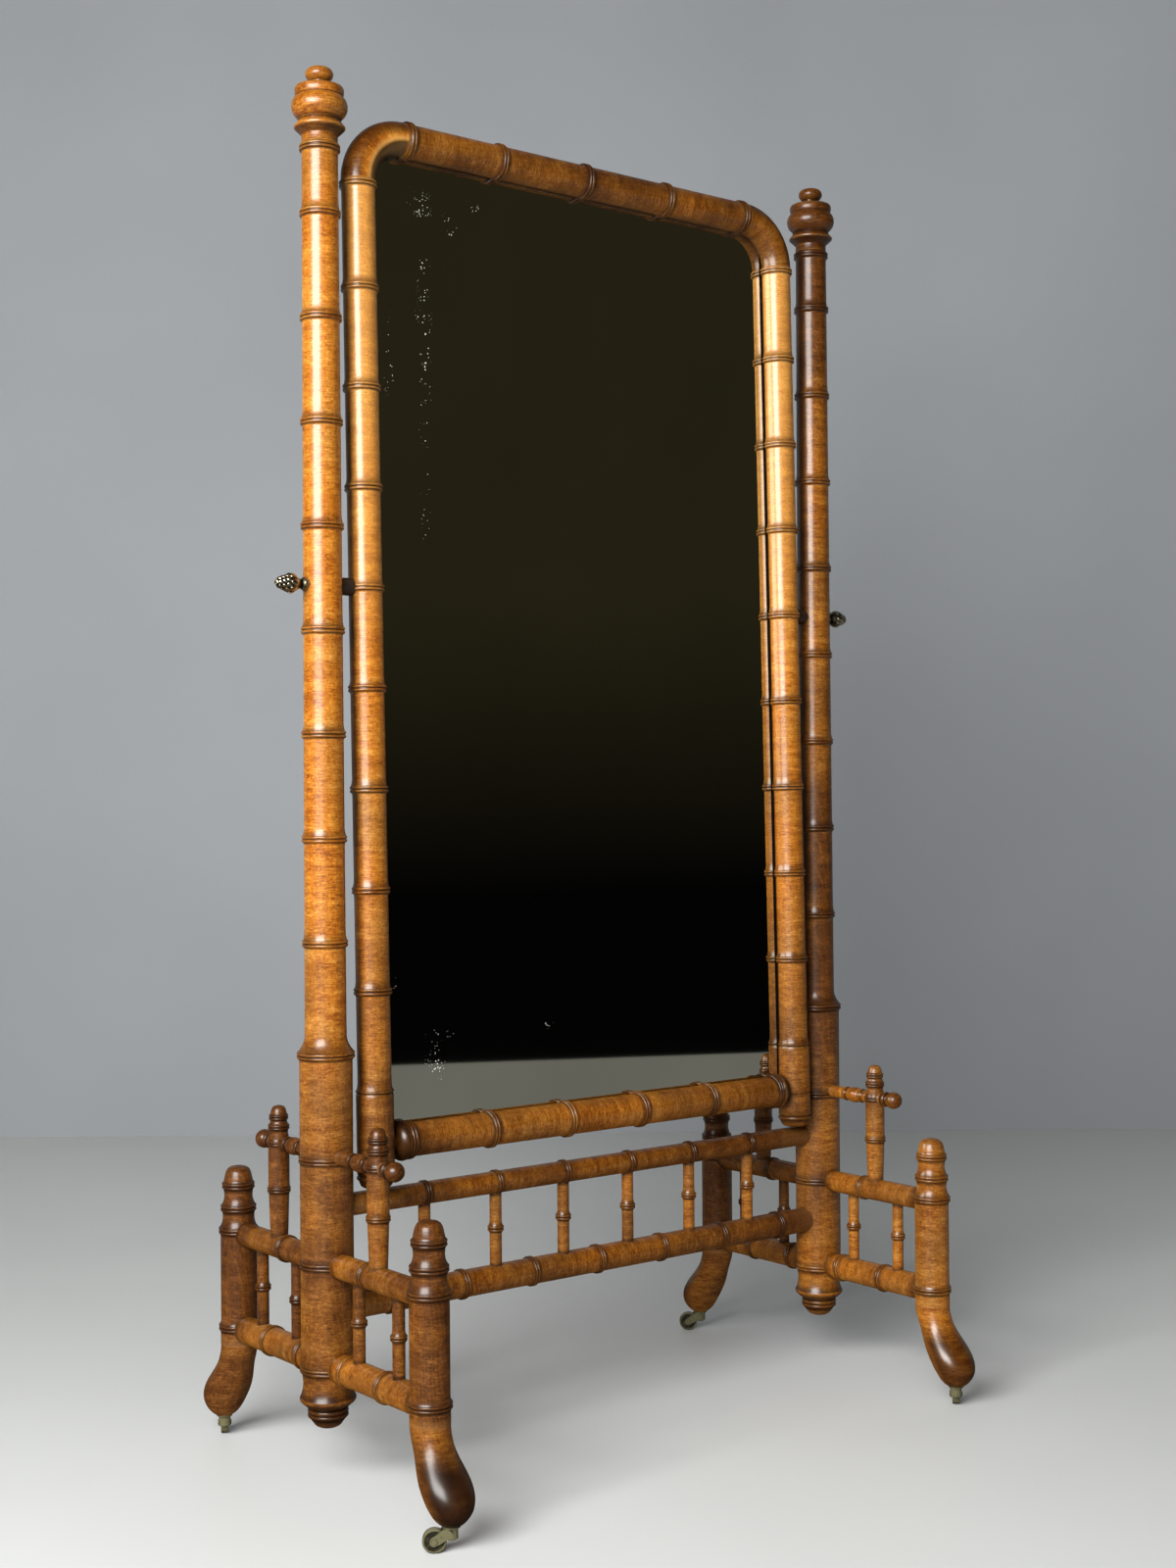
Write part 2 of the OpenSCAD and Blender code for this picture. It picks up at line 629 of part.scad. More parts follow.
module stretcher_upper() {
    color(maple_dark) difference() {
        translate([0, 0, high_stretcher_z])
            turned_x(stretcher_points(high_stretcher_r, high_stretcher_rings, 2.2));
        for (i = [0 : gallery_count - 1])
            translate([gallery_x(i), 0, high_stretcher_z - high_stretcher_r + spindle_seat - 30])
                cylinder(r = gallery_spindle_r + socket_gap, h = 30);
    }
}

module stretcher_lower() {
    color(maple_dark) difference() {
        translate([0, 0, low_stretcher_z])
            turned_x(stretcher_points(low_stretcher_r, low_stretcher_rings, 2.5));
        for (i = [0 : gallery_count - 1])
            translate([gallery_x(i), 0, low_stretcher_z + low_stretcher_r - spindle_seat])
                cylinder(r = gallery_spindle_r + socket_gap, h = 30);
    }
}

module gallery_spindles() {
    color(maple) for (i = [0 : gallery_count - 1]) translate([gallery_x(i), 0, 0])
        turned(spindle_points(gallery_spindle_r, low_stretcher_z + low_stretcher_r - spindle_seat,
            high_stretcher_z - high_stretcher_r + spindle_seat, 3.1));
}

// Casters: a plate with its pintle on the foot, a fork that swivels on it, a wheel on an axle

function corner_index(side, end) = (side == LEFT ? 0 : 2) + (end == FRONT ? 0 : 1);

module at_pintle(side, end) {
    translate([side * post_x, end * pintle_y, 0]) children();
}

module at_fork(side, end) {
    at_pintle(side, end) rotate([0, 0, caster_turn[corner_index(side, end)]]) children();
}

module caster_plates() {
    color(brass) for (side = [LEFT, RIGHT]) for (end = [FRONT, BACK]) at_pintle(side, end) {
        translate([0, 0, foot_under_z - plate_t]) cylinder(r = plate_r, h = plate_t);
        translate([0, 0, foot_under_z - 0.5]) cylinder(r = stem_r, h = stem_len + 0.5);
        translate([0, 0, boss_top_z - boss_h - seat_gap - rivet_t + 0.5])
            cylinder(r = pintle_r, h = boss_h + plate_t + seat_gap);
        translate([0, 0, boss_top_z - boss_h - seat_gap - rivet_t])
            cylinder(r = pintle_r + 1.4, h = rivet_t);
    }
}

// One cheek of a fork, as an outline in the plane of the wheel
module cheek_outline() {
    difference() {
        hull() {
            translate([caster_trail, wheel_r]) circle(r = 5.6);
            translate([2, boss_top_z - 5]) square([7, 5]);
            translate([-2, boss_top_z - 9]) square([6, 6]);
        }
        translate([caster_trail, wheel_r]) circle(r = axle_r + run_gap);
    }
}

module caster_fork(side, end) {
    color(brass) at_fork(side, end) difference() {
        union() {
            translate([0, 0, boss_top_z - boss_h]) cylinder(r = boss_r, h = boss_h);
            for (s = [-1, 1]) translate([0, s * (cheek_y + cheek_t / 2), 0]) rotate([90, 0, 0])
                linear_extrude(cheek_t, center = true) cheek_outline();
        }
        translate([0, 0, boss_top_z - boss_h - 1]) cylinder(r = pintle_r + run_gap, h = boss_h + 2);
        translate([caster_trail, 0, wheel_r]) rotate([90, 0, 0])
            cylinder(r = wheel_r + 0.8, h = wheel_w + 2 * wheel_side_gap, center = true);
    }
}

module caster_wheel(side, end) {
    color(brass) at_fork(side, end) translate([caster_trail, 0, wheel_r]) rotate([90, 0, 0])
        rotate_extrude() polygon(concat(
            [[axle_r + run_gap, -wheel_w / 2], [5, -wheel_w / 2], [6, -wheel_w / 2 + 1.4]],
            [[wheel_r - 3.4, -wheel_w / 2 + 1.4], [wheel_r - 2.4, -wheel_w / 2]],
            [[wheel_r - 1, -wheel_w / 2], [wheel_r, -wheel_w / 2 + 1.2]],
            [[wheel_r, wheel_w / 2 - 1.2], [wheel_r - 1, wheel_w / 2]],
            [[wheel_r - 2.4, wheel_w / 2], [wheel_r - 3.4, wheel_w / 2 - 1.4]],
            [[6, wheel_w / 2 - 1.4], [5, wheel_w / 2], [axle_r + run_gap, wheel_w / 2]]));
}

module caster_axle(side, end) {
    half = cheek_y + cheek_t;
    color(brass) at_fork(side, end) translate([caster_trail, 0, wheel_r]) {
        rod_y(axle_r, -half - 0.5, half + 0.5);
        rod_y(axle_head_r, half, half + axle_head_t);
        rod_y(axle_head_r, -half - axle_head_t, -half);
    }
}

// Mirror frame

// The space of the glass or the backboard, behind the frame's lip: edge is its distance from the axis line
module glazing_outline(edge) {
    half = stile_x - edge;
    bend = elbow_r - edge;
    base = bottom_rail_z + edge;
    translate([-half, base]) square([2 * half, stile_top_z - base]);
    translate([-top_rail_half, base]) square([2 * top_rail_half, top_rail_z - edge - base]);
    for (s = [LEFT, RIGHT]) translate([s * top_rail_half, stile_top_z]) circle(r = bend, $fn = 128);
}

module glazing_solid(edge, from, to) {
    translate([0, to, 0]) rotate([90, 0, 0]) linear_extrude(to - from) glazing_outline(edge);
}

module rebates() {
    glazing_solid(glass_rebate, glass_y, glass_y + glass_t + 1);
    glazing_solid(board_rebate, glass_y + glass_t, stile_r + rebate_reach);
}

// Where the backboard's screws stand: [x, z]
function screw_places() = concat(
    [for (s = [LEFT, RIGHT]) for (i = [0 : stile_screws - 1])
        [s * (stile_x - screw_line), screw_low_z + i * (screw_high_z - screw_low_z) / (stile_screws - 1)]],
    [for (i = [0 : rail_screws - 1]) [(i - (rail_screws - 1) / 2) * 0.8 * top_rail_half, top_rail_z - screw_line]],
    [for (i = [0 : rail_screws - 1]) [(i - (rail_screws - 1) / 2) * 0.8 * top_rail_half, bottom_rail_z + screw_line]]);

module screw_holes() {
    for (p = screw_places()) translate([p[0], 0, p[1]])
        rod_y(screw_r + run_gap, board_back_y - screw_len - 0.5, board_back_y + 5);
}

function stile_rings() = [for (i = [1 : stile_ring_count - 1]) stile_step_z + i * stile_ring_pitch];

function stile_points() = concat(
    [[0, stile_end_z]],
    arc(9, stile_end_z + 7.4, 13, -72, -12, 4, 0.56),
    bead(stile_low_r + 0.9, stile_end_z + 15, 3, 2.4),
    [[stile_low_r, stile_end_z + 20], [stile_low_r, bottom_rail_z - 6]],
    [[stile_low_r - 0.8, bottom_rail_z - 5.2], [stile_low_r, bottom_rail_z - 4.4]],
    [[stile_low_r, stile_step_z - 3], [stile_low_r - 0.6, stile_step_z - 1.4], [stile_low_r - 1.4, stile_step_z]],
    bead(stile_low_r + 0.5, stile_step_z + 2.2, 1.9, 1.5),
    sweep_up(stile_low_r - 1, stile_r, stile_step_z + 4.1, 12),
    [for (z = stile_rings()) each ring(z, stile_r, stile_r, stile_r + frame_ring_proud)],
    ring(stile_cap_z, stile_r, stile_r + 0.6, stile_r + frame_ring_proud, 1.2),
    [[0, stile_top_z]]);

module stile(side) {
    color(maple) hung() sided(side) difference() {
        translate([stile_x, 0, 0]) turned(stile_points());
        rebates();
        screw_holes();
        translate([stile_x, 0, stile_top_z - frame_dowel_len / 2 - 0.5])
            cylinder(r = frame_dowel_r + socket_gap, h = frame_dowel_len);
        translate([0, 0, bottom_rail_z])
            rod_x(bottom_spigot_r + socket_gap, stile_x - 60, stile_x - stile_low_r + bottom_spigot_len);
        translate([stile_x, 0, pivot_z]) {
            rod_x(spacer_recess, plate_face - seat_gap, 60);
            rod_x(shank_r + 2 * socket_gap, shank_tip - 1.5, 60);
            rod_x(nut_r + socket_gap, plate_seat - nut_len, 60);
            translate([plate_seat, -pivot_plate_w / 2 - socket_gap, -pivot_plate_w / 2 - socket_gap])
                cube([20, pivot_plate_w + 2 * socket_gap, pivot_plate_w + 2 * socket_gap]);
        }
    }
}

module elbow(side) {
    color(maple) hung() sided(side) difference() {
        translate([top_rail_half, 0, stile_top_z]) rotate([90, 0, 0])
            rotate_extrude(angle = 90) translate([elbow_r, 0]) circle(r = stile_r + 0.5);
        rebates();
        translate([stile_x, 0, stile_top_z - 1]) cylinder(r = frame_dowel_r + socket_gap, h = frame_dowel_len / 2 + 1.5);
        translate([0, 0, top_rail_z])
            rod_x(frame_dowel_r + socket_gap, top_rail_half - 1, top_rail_half + frame_dowel_len / 2 + 0.5);
    }
}

function top_rail_points() = let (last = top_rail_half - rail_end_margin, r = stile_r + 0.3, far = 1) concat(
    [[0, -top_rail_half], [stile_r + 0.5, -top_rail_half]],
    ring(-last, r, r, r + frame_ring_proud, 7, 4),
    [for (i = [-1, 0, 1]) each ring(i * last / 2, r, r, r + frame_ring_proud, 7, 7)],
    ring(last, r, r, r + frame_ring_proud, 4, 7),
    [[stile_r + 0.5, top_rail_half], [0, top_rail_half]]);

module top_rail() {
    color(maple) hung() difference() {
        translate([0, 0, top_rail_z]) turned_x(top_rail_points());
        rebates();
        screw_holes();
        for (s = [LEFT, RIGHT]) sided(s) translate([0, 0, top_rail_z])
            rod_x(frame_dowel_r + socket_gap, top_rail_half - frame_dowel_len / 2 - 0.5, top_rail_half + 1);
    }
}

bottom_tip = stile_x - stile_low_r + bottom_spigot_len;
bottom_neck = stile_x - stile_low_r - 1.2;
bottom_ring_pitch = (bottom_neck - bottom_end_len) / 2.5;
bottom_dome = 2.5 * bottom_ring_pitch + ring_half;

function bottom_end_points() = concat(
    [[bottom_rail_r + 1.4, bottom_dome + 0.4], [bottom_rail_r + 3.6, bottom_dome + 3.2]],
    arc(bottom_spigot_r, bottom_dome + 4.6, bottom_rail_r + 4 - bottom_spigot_r, 6, 84, 6,
        (bottom_neck - bottom_dome - 4.6) / (bottom_rail_r + 4 - bottom_spigot_r)),
    [[bottom_spigot_r, bottom_neck + 0.2], [bottom_spigot_r, bottom_tip], [0, bottom_tip]]);

function flipped(points) = [for (i = [len(points) - 1 : -1 : 0]) [points[i][0], -points[i][1]]];

function bottom_rail_points() = let (r = bottom_rail_r) concat(
    flipped(bottom_end_points()),
    ring(-2.5 * bottom_ring_pitch, r + 1.2, r, r + frame_ring_proud, 7, 0.3),
    [for (i = [-1.5, -0.5, 0.5, 1.5]) each ring(i * bottom_ring_pitch, r, r, r + frame_ring_proud, 7, 7)],
    ring(2.5 * bottom_ring_pitch, r, r + 1.2, r + frame_ring_proud, 0.3, 7),
    bottom_end_points());

module bottom_rail() {
    color(maple) hung() difference() {
        translate([0, 0, bottom_rail_z]) turned_x(bottom_rail_points());
        rebates();
        screw_holes();
    }
}

module frame_dowels() {
    color(pine) hung() for (s = [LEFT, RIGHT]) sided(s) {
        translate([stile_x, 0, stile_top_z - frame_dowel_len / 2]) cylinder(r = frame_dowel_r, h = frame_dowel_len);
        translate([0, 0, top_rail_z])
            rod_x(frame_dowel_r, top_rail_half - frame_dowel_len / 2, top_rail_half + frame_dowel_len / 2);
    }
}

// Glass, backboard and its screws

module mirror_glass() {
    color(silvering) hung() glazing_solid(glass_rebate + glazing_gap, glass_y, glass_y + glass_t);
}

module backboard() {
    color(pine) hung() difference() {
        glazing_solid(board_rebate + glazing_gap, board_y, board_back_y);
        screw_holes();
    }
}

module backboard_screws() {
    color(iron) hung() for (p = screw_places()) translate([p[0], 0, p[1]]) {
        rod_y(screw_r, board_back_y - screw_len, board_back_y + 0.5);
        rod_y(screw_head_r, board_back_y, board_back_y + screw_head_t);
    }
}

// Pivot: a brass plate with its nut on each stile, a spacer, and a thumbscrew through the post

module pivot_plates() {
    color(brass) hung() for (s = [LEFT, RIGHT]) sided(s) translate([stile_x, 0, pivot_z]) difference() {
        union() {
            translate([plate_seat, -pivot_plate_w / 2, -pivot_plate_w / 2])
                cube([pivot_plate_t, pivot_plate_w, pivot_plate_w]);
            rod_x(nut_r, plate_seat - nut_len, plate_seat + 0.5);
        }
        rod_x(shank_r + run_gap, plate_seat - nut_len - 1, plate_face + 1);
    }
}

module pivot_spacers() {
    color(ebony) hung() for (s = [LEFT, RIGHT]) sided(s) translate([stile_x + plate_face, 0, pivot_z]) difference() {
        rod_x(spacer_r, 0, spacer_len);
        rod_x(shank_r + run_gap, -1, spacer_len + 1);
    }
}

function cone_points(start) = concat(
    [[4.6, start], [5.2, start + 1.5], [cone_r - 3.2, start + 0.22 * cone_len]],
    [for (t = [0 : 6]) let (u = t / 6)
        [(cone_r - 4.2 * u) * sqrt(1 - pow(0.92 * u, 3)) - (t % 2 == 0 ? 0 : 0.7), start + cone_len * (0.32 + 0.64 * u)]],
    [[0, start + cone_len]]);

// The thumbscrew stands outside the right post, with its axis along +X from the post's axis
function thumbscrew_points() = let (seat = collar_face + seat_gap, ball = seat + ball_r * 0.62) concat(
    [[0, stile_x - post_x + shank_tip], [shank_r - 0.8, stile_x - post_x + shank_tip]],
    [[shank_r, stile_x - post_x + shank_tip + 0.8], [shank_r, seat]],
    arc(0, ball, ball_r, -38, 56, 8),
    cone_points(ball + ball_r * 0.86));

module thumbscrew(side) {
    color(brass) sided(side) translate([post_x, 0, pivot_z]) turned_x(thumbscrew_points());
}

post(LEFT);  // post_left
post(RIGHT);  // post_right
finial(LEFT);  // finial_left
finial(RIGHT);  // finial_right
leg(LEFT, FRONT);  // leg_front_left
leg(LEFT, BACK);  // leg_back_left
leg(RIGHT, FRONT);  // leg_front_right
leg(RIGHT, BACK);  // leg_back_right
foot(LEFT, FRONT);  // foot_front_left
foot(LEFT, BACK);  // foot_back_left
foot(RIGHT, FRONT);  // foot_front_right
foot(RIGHT, BACK);  // foot_back_right
upper_rail(LEFT, FRONT);  // upper_rail_front_left
upper_rail(LEFT, BACK);  // upper_rail_back_left
upper_rail(RIGHT, FRONT);  // upper_rail_front_right
upper_rail(RIGHT, BACK);  // upper_rail_back_right
lower_rail(LEFT, FRONT);  // lower_rail_front_left
lower_rail(LEFT, BACK);  // lower_rail_back_left
lower_rail(RIGHT, FRONT);  // lower_rail_front_right
lower_rail(RIGHT, BACK);  // lower_rail_back_right
upright(LEFT, FRONT);  // upright_front_left
upright(LEFT, BACK);  // upright_back_left
upright(RIGHT, FRONT);  // upright_front_right
upright(RIGHT, BACK);  // upright_back_right
arm(LEFT, FRONT);  // arm_front_left
arm(LEFT, BACK);  // arm_back_left
arm(RIGHT, FRONT);  // arm_front_right
arm(RIGHT, BACK);  // arm_back_right
arm_knobs();
side_spindles();
stretcher_upper();
stretcher_lower();
gallery_spindles();
caster_plates();
stile(LEFT);  // stile_left
stile(RIGHT);  // stile_right
elbow(LEFT);  // elbow_left
elbow(RIGHT);  // elbow_right
top_rail();
bottom_rail();
frame_dowels();
mirror_glass();
backboard();
backboard_screws();
pivot_plates();
pivot_spacers();
thumbscrew(LEFT);  // thumbscrew_left
thumbscrew(RIGHT);  // thumbscrew_right
caster_fork(LEFT, FRONT);  // caster_fork_front_left
caster_fork(LEFT, BACK);  // caster_fork_back_left
caster_fork(RIGHT, FRONT);  // caster_fork_front_right
caster_fork(RIGHT, BACK);  // caster_fork_back_right
caster_wheel(LEFT, FRONT);  // caster_wheel_front_left
caster_wheel(LEFT, BACK);  // caster_wheel_back_left
caster_wheel(RIGHT, FRONT);  // caster_wheel_front_right
caster_wheel(RIGHT, BACK);  // caster_wheel_back_right
caster_axle(LEFT, FRONT);  // caster_axle_front_left
caster_axle(LEFT, BACK);  // caster_axle_back_left
caster_axle(RIGHT, FRONT);  // caster_axle_front_right
caster_axle(RIGHT, BACK);  // caster_axle_back_right
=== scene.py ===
"""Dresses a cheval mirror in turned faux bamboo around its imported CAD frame.

Lengths of the object are written in millimetres and turned to metres where a mesh is placed.
"""

import logging
import math
from collections.abc import Callable
from dataclasses import dataclass, field
from enum import Enum
from functools import partial

import bmesh
import bpy
from mathutils import Matrix, Vector


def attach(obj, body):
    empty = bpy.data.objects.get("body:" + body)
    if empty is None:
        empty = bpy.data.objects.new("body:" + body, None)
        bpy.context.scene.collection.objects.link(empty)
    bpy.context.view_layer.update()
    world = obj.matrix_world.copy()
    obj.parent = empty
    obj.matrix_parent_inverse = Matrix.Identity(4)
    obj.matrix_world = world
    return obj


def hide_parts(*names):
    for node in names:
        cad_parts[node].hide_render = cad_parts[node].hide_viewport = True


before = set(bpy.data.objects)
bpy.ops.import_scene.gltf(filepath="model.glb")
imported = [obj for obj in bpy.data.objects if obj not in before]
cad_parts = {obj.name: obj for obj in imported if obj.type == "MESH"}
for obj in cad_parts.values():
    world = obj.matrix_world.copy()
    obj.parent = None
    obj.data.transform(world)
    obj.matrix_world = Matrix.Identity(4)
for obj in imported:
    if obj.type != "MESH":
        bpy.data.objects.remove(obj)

LOG = logging.getLogger("cheval_mirror")
MM = 0.001
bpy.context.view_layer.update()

Pair = tuple[float, float]
Triple = tuple[float, float, float]
Tones = tuple[Pair, ...]
Ramp = tuple[tuple[float, str], ...]
Socket = bpy.types.NodeSocket
Adder = Callable[..., Socket]

# Dirt and painted shade on the side that faces a close neighbour, by degrees from straight ahead
CLOSE_SIDE_DIRT_AND_SHADE: Tones = ((52, 0.0), (80, 0.95), (130, 0.95), (150, 0.0))


def linear(code: str) -> tuple[float, float, float, float]:
    """Turns an sRGB hex colour to linear light.

    Args:
        code: The colour as six hex digits after a hash.

    Returns:
        Red, green, blue and an alpha of 1.
    """
    values = [int(code[i : i + 2], 16) / 255 for i in (1, 3, 5)]
    parts = [v / 12.92 if v <= 0.04045 else ((v + 0.055) / 1.055) ** 2.4 for v in values]
    return (parts[0], parts[1], parts[2], 1.0)


def add_node(
    tree: bpy.types.NodeTree, kind: str, settings: dict[str | int, object], out: str | int = 0
) -> Socket | None:
    """Adds a node with its settings and links.

    Args:
        tree: The node tree that takes the node.
        kind: Blender's name for the node, without its first word ShaderNode.
        settings: Values, hex colours and sockets to link, by property name or by the name or number of an
            input. "ramp" holds colour stops, and "span" the two ends of a range and what they become.
        out: The name or number of the output that is wanted.

    Returns:
        That output, or None where the node has none.
    """
    node = tree.nodes.new("ShaderNode" + kind)
    for name, value in settings.items():
        if name == "ramp":
            stops = node.color_ramp.elements
            while len(stops) > 1:
                stops.remove(stops[-1])
            stops[0].position, stops[0].color = value[0][0], linear(value[0][1])
            for place, code in value[1:]:
                stops.new(place).color = linear(code)
        elif name == "span":
            for number, limit in enumerate(value, 1):
                node.inputs[number].default_value = limit
        elif isinstance(value, Socket):
            tree.links.new(value, node.inputs[name])
        elif isinstance(name, str) and hasattr(node, name):
            setattr(node, name, value)
        else:
            node.inputs[name].default_value = linear(value) if isinstance(value, str) else value
    return node.outputs[out] if node.outputs else None


class Axis(Enum):
    """Which way the axis of a turned piece points."""

    UP = Matrix.Identity(4)
    ACROSS = Matrix.Rotation(math.radians(90), 4, "Y")
    BACK = Matrix.Rotation(math.radians(-90), 4, "X")


class Side(Enum):
    """Left or right half of the stand, by the sign of X."""

    LEFT = -1
    RIGHT = 1

    @property
    def word(self) -> str:
        """The side's part of a node's name."""
        return self.name.lower()

    def mirrored(self) -> Matrix:
        """Returns the flip that takes a right-hand piece to this side."""
        return Matrix.Scale(self.value, 4, (1, 0, 0))


class End(Enum):
    """Front or back half of a side frame, by the sign of Y."""

    FRONT = -1
    BACK = 1

    @property
    def word(self) -> str:
        """The end's part of a node's name."""
        return self.name.lower()


@dataclass(frozen=True)
class Layout:
    """Places that several sub-assemblies share, in millimetres from the floor's centre."""

    post_x: float = 458.0
    low_ring_z: float = 163.0
    low_pitch: float = 139.0
    first_high_z: float = 728.5
    high_pitch: float = 139.3
    high_count: int = 8
    cap_ring_z: float = 1791.1
    post_top_z: float = 1797.8
    low_rail_z: float = 168.0
    high_rail_z: float = 303.0
    arm_z: float = 446.5
    leg_reach: float = 244.0
    leg_foot_z: float = 146.0
    low_stretcher_z: float = 240.0
    high_stretcher_z: float = 375.5
    gallery_pitch: float = 121.0
    pivot_z: float = 1207.0
    lean_deg: float = 1.25
    stile_x: float = 391.0
    stile_end_z: float = 395.5
    stile_step_z: float = 524.5
    stile_pitch: float = 136.4
    stile_rings: int = 9
    stile_cap_rise: float = 141.6
    bottom_rail_z: float = 455.0
    stile_top_z: float = 1763.0
    elbow_r: float = 70.0
    foot_under_z: float = 33.0

    @property
    def step_ring_z(self) -> float:
        """Height of the ring where the post steps in."""
        return self.low_ring_z + 3 * self.low_pitch

    @property
    def stile_cap_z(self) -> float:
        """Height of the ring under the elbow."""
        return self.stile_step_z + (self.stile_rings - 1) * self.stile_pitch + self.stile_cap_rise

    @property
    def top_rail_z(self) -> float:
        """Height of the top rail's axis."""
        return self.stile_top_z + self.elbow_r

    @property
    def rail_half(self) -> float:
        """Half the top rail's length, from elbow to elbow."""
        return self.stile_x - self.elbow_r

    def lean(self) -> Matrix:
        """Gives the mirror's lean.

        Returns:
            The turn about the mirror's pivot, in metres.
        """
        pivot = Vector((0, 0, self.pivot_z * MM))
        turn = Matrix.Rotation(math.radians(-self.lean_deg), 4, "X")
        return Matrix.Translation(pivot) @ turn @ Matrix.Translation(-pivot)


LAYOUT = Layout()


def at(x: float, y: float, z: float, axis: Axis = Axis.UP) -> Matrix:
    """Returns the place of a lathe's frame whose origin is at a point in millimetres."""
    return Matrix.Translation(Vector((x, y, z)) * MM) @ axis.value


def tone_at(tones: Tones, along: float) -> float:
    """Reads a tone between the listed places.

    Args:
        tones: Pairs of a place and its tone, at rising places.
        along: The place.

    Returns:
        The tone there.
    """
    if along <= tones[0][0]:
        return tones[0][1]
    for (low, low_tone), (high, high_tone) in zip(tones, tones[1:]):
        if along <= high:
            return low_tone + (high_tone - low_tone) * (along - low) / (high - low)
    return tones[-1][1]


@dataclass
class Outline:
    """Outline of a turned piece: stations of radius, place along the axis and depth of stain."""

    stations: list[Triple] = field(default_factory=list)

    def to(self, radius: float, along: float, stain: float = 0.0) -> "Outline":
        """Adds one station and returns the outline."""
        self.stations.append((radius, along, stain))
        return self

    def arc(
        self,
        radius: float,
        along: float,
        size: float,
        start: float,
        end: float,
        squash: float = 1.0,
        stain: float = 0.0,
    ) -> "Outline":
        """Adds part of a circle.

        Args:
            radius: Radius at which the circle's centre lies.
            along: Place of the centre along the axis.
            size: Radius of the circle.
            start: First angle in degrees, counted from straight outward.
            end: Last angle in degrees.
            squash: Height of the circle against its width.
            stain: Depth of stain on the arc.

        Returns:
            The outline.
        """
        count = max(3, round(abs(end - start) / 9))
        for i in range(count + 1):
            a = math.radians(start + (end - start) * i / count)
            self.to(radius + size * math.cos(a), along + squash * size * math.sin(a), stain)
        return self

    def bead(
        self,
        peak: float,
        along: float,
        half: float = 2.1,
        depth: float = 1.6,
        stain: float = 0.42,
        head: float = 1.0,
    ) -> "Outline":
        """Adds one rounded bead with a dark groove before it.

        Args:
            peak: Radius of its crest.
            along: Place of its crest along the axis.
            half: Half its height.
            depth: Depth of the grooves beside it.
            stain: Depth of stain on its crest.
            head: Depth of stain in the groove after it.

        Returns:
            The outline.
        """
        for i in range(9):
            a = math.radians(-90 + 22.5 * i)
            deep = 1 - math.cos(a)
            groove = 1.0 if i < 4 else head
            self.to(peak - depth * deep, along + half * math.sin(a), stain + (groove - stain) * deep**0.55)
        return self

    def cove(
        self, ring_r: float, shaft_r: float, edge: float, length: float, stain: float = 0.4
    ) -> "Outline":
        """Adds the hollow flare between a ring and a shaft.

        Args:
            ring_r: Radius where the flare meets the ring.
            shaft_r: Radius where it meets the shaft.
            edge: Place of the ring's end of the flare.
            length: Length of the flare; below 0 for a flare that comes before its ring.
            stain: Depth of stain at the ring.

        Returns:
            The outline.
        """
        shares = [0.0, 0.05, 0.16, 0.3, 0.46, 0.64, 0.82, 1.0]
        if length < 0:
            shares.reverse()
        for t in shares:
            self.to(shaft_r + (ring_r - shaft_r) * (1 - t) ** 2, edge + length * t, stain * (1 - t) ** 1.1)
        return self

    def ring(
        self,
        along: float,
        below: float,
        above: float,
        peak: float,
        up: float = 11.0,
        down: float = 3.0,
        half: float = 2.1,
        depth: float = 1.6,
    ) -> "Outline":
        """Adds a bamboo ring: a short cove, two beads with a groove between them, and a long cove.

        Args:
            along: Place of the groove along the axis.
            below: Shaft radius before the ring.
            above: Shaft radius after the ring.
            peak: Radius of the beads' crests.
            up: Length of the cove after the ring.
            down: Length of the cove before the ring.
            half: Half the height of one bead.
            depth: Depth of the groove.

        Returns:
            The outline.
        """
        middle = half + 0.3
        edge = half + middle
        self.cove(peak - depth, below, along - edge, -down, 1.0)
        self.bead(peak, along - middle, half, depth)
        self.bead(peak, along + middle, half, depth, 0.35, 0.8)
        return self.cove(peak - depth, above, along + edge, up, 0.7)

    def spindle(self, radius: float, low: float, high: float, proud: float) -> "Outline":
        """Adds a small spindle with one ring at its middle, dark where it enters the rails.

        Args:
            radius: Its radius.
            low: Place of its lower end.
            high: Place of its upper end.
            proud: How far its ring stands out.

        Returns:
            The outline.
        """
        self.to(radius, low, 0.9).to(radius, low + 9.5, 0.8).to(radius, low + 14, 0.1)
        self.ring((low + high) / 2 + 1, radius, radius, radius + proud, 7, 4, 1.7, 1.3)
        return self.to(radius, high - 14, 0.1).to(radius, high - 9.5, 0.8).to(radius, high, 0.9)

    def flipped(self) -> "Outline":
        """Returns the same outline turned end for end about 0."""
        return Outline([(r, -s, d) for r, s, d in reversed(self.stations)])


@dataclass
class WoodPart:
    """A mesh in the making whose points carry their stain, tone and place in the grain."""

    bm: bmesh.types.BMesh = field(default_factory=bmesh.new)

    def __post_init__(self) -> None:
        """Makes the layers that the wood's finish reads."""
        self.stain = self.bm.verts.layers.float.new("stain")
        self.tone = self.bm.verts.layers.float.new("tone")
        self.grain = self.bm.verts.layers.float_vector.new("grain")

    def mark(self, vert: bmesh.types.BMVert, stain: float, tone: float, grain: Vector) -> None:
        """Marks one point.

        Args:
            vert: The point.
            stain: Depth of its stain.
            tone: How brown it is.
            grain: Its place in the grain.
        """
        vert[self.stain], vert[self.tone], vert[self.grain] = stain, tone, grain


def new_object(
    part: bmesh.types.BMesh, name: str, material: bpy.types.Material | None = None
) -> bpy.types.Object:
    """Makes an object of a mesh that is in its place, and frees the mesh.

    Args:
        part: The mesh.
        name: The object's name.
        material: The finish of every face, if any.

    Returns:
        The object, at the origin.
    """
    mesh = bpy.data.meshes.new(name)
    part.to_mesh(mesh)
    part.free()
    if material:
        mesh.materials.append(material)
    made = bpy.data.objects.new(name, mesh)
    bpy.context.scene.collection.objects.link(made)
    return made


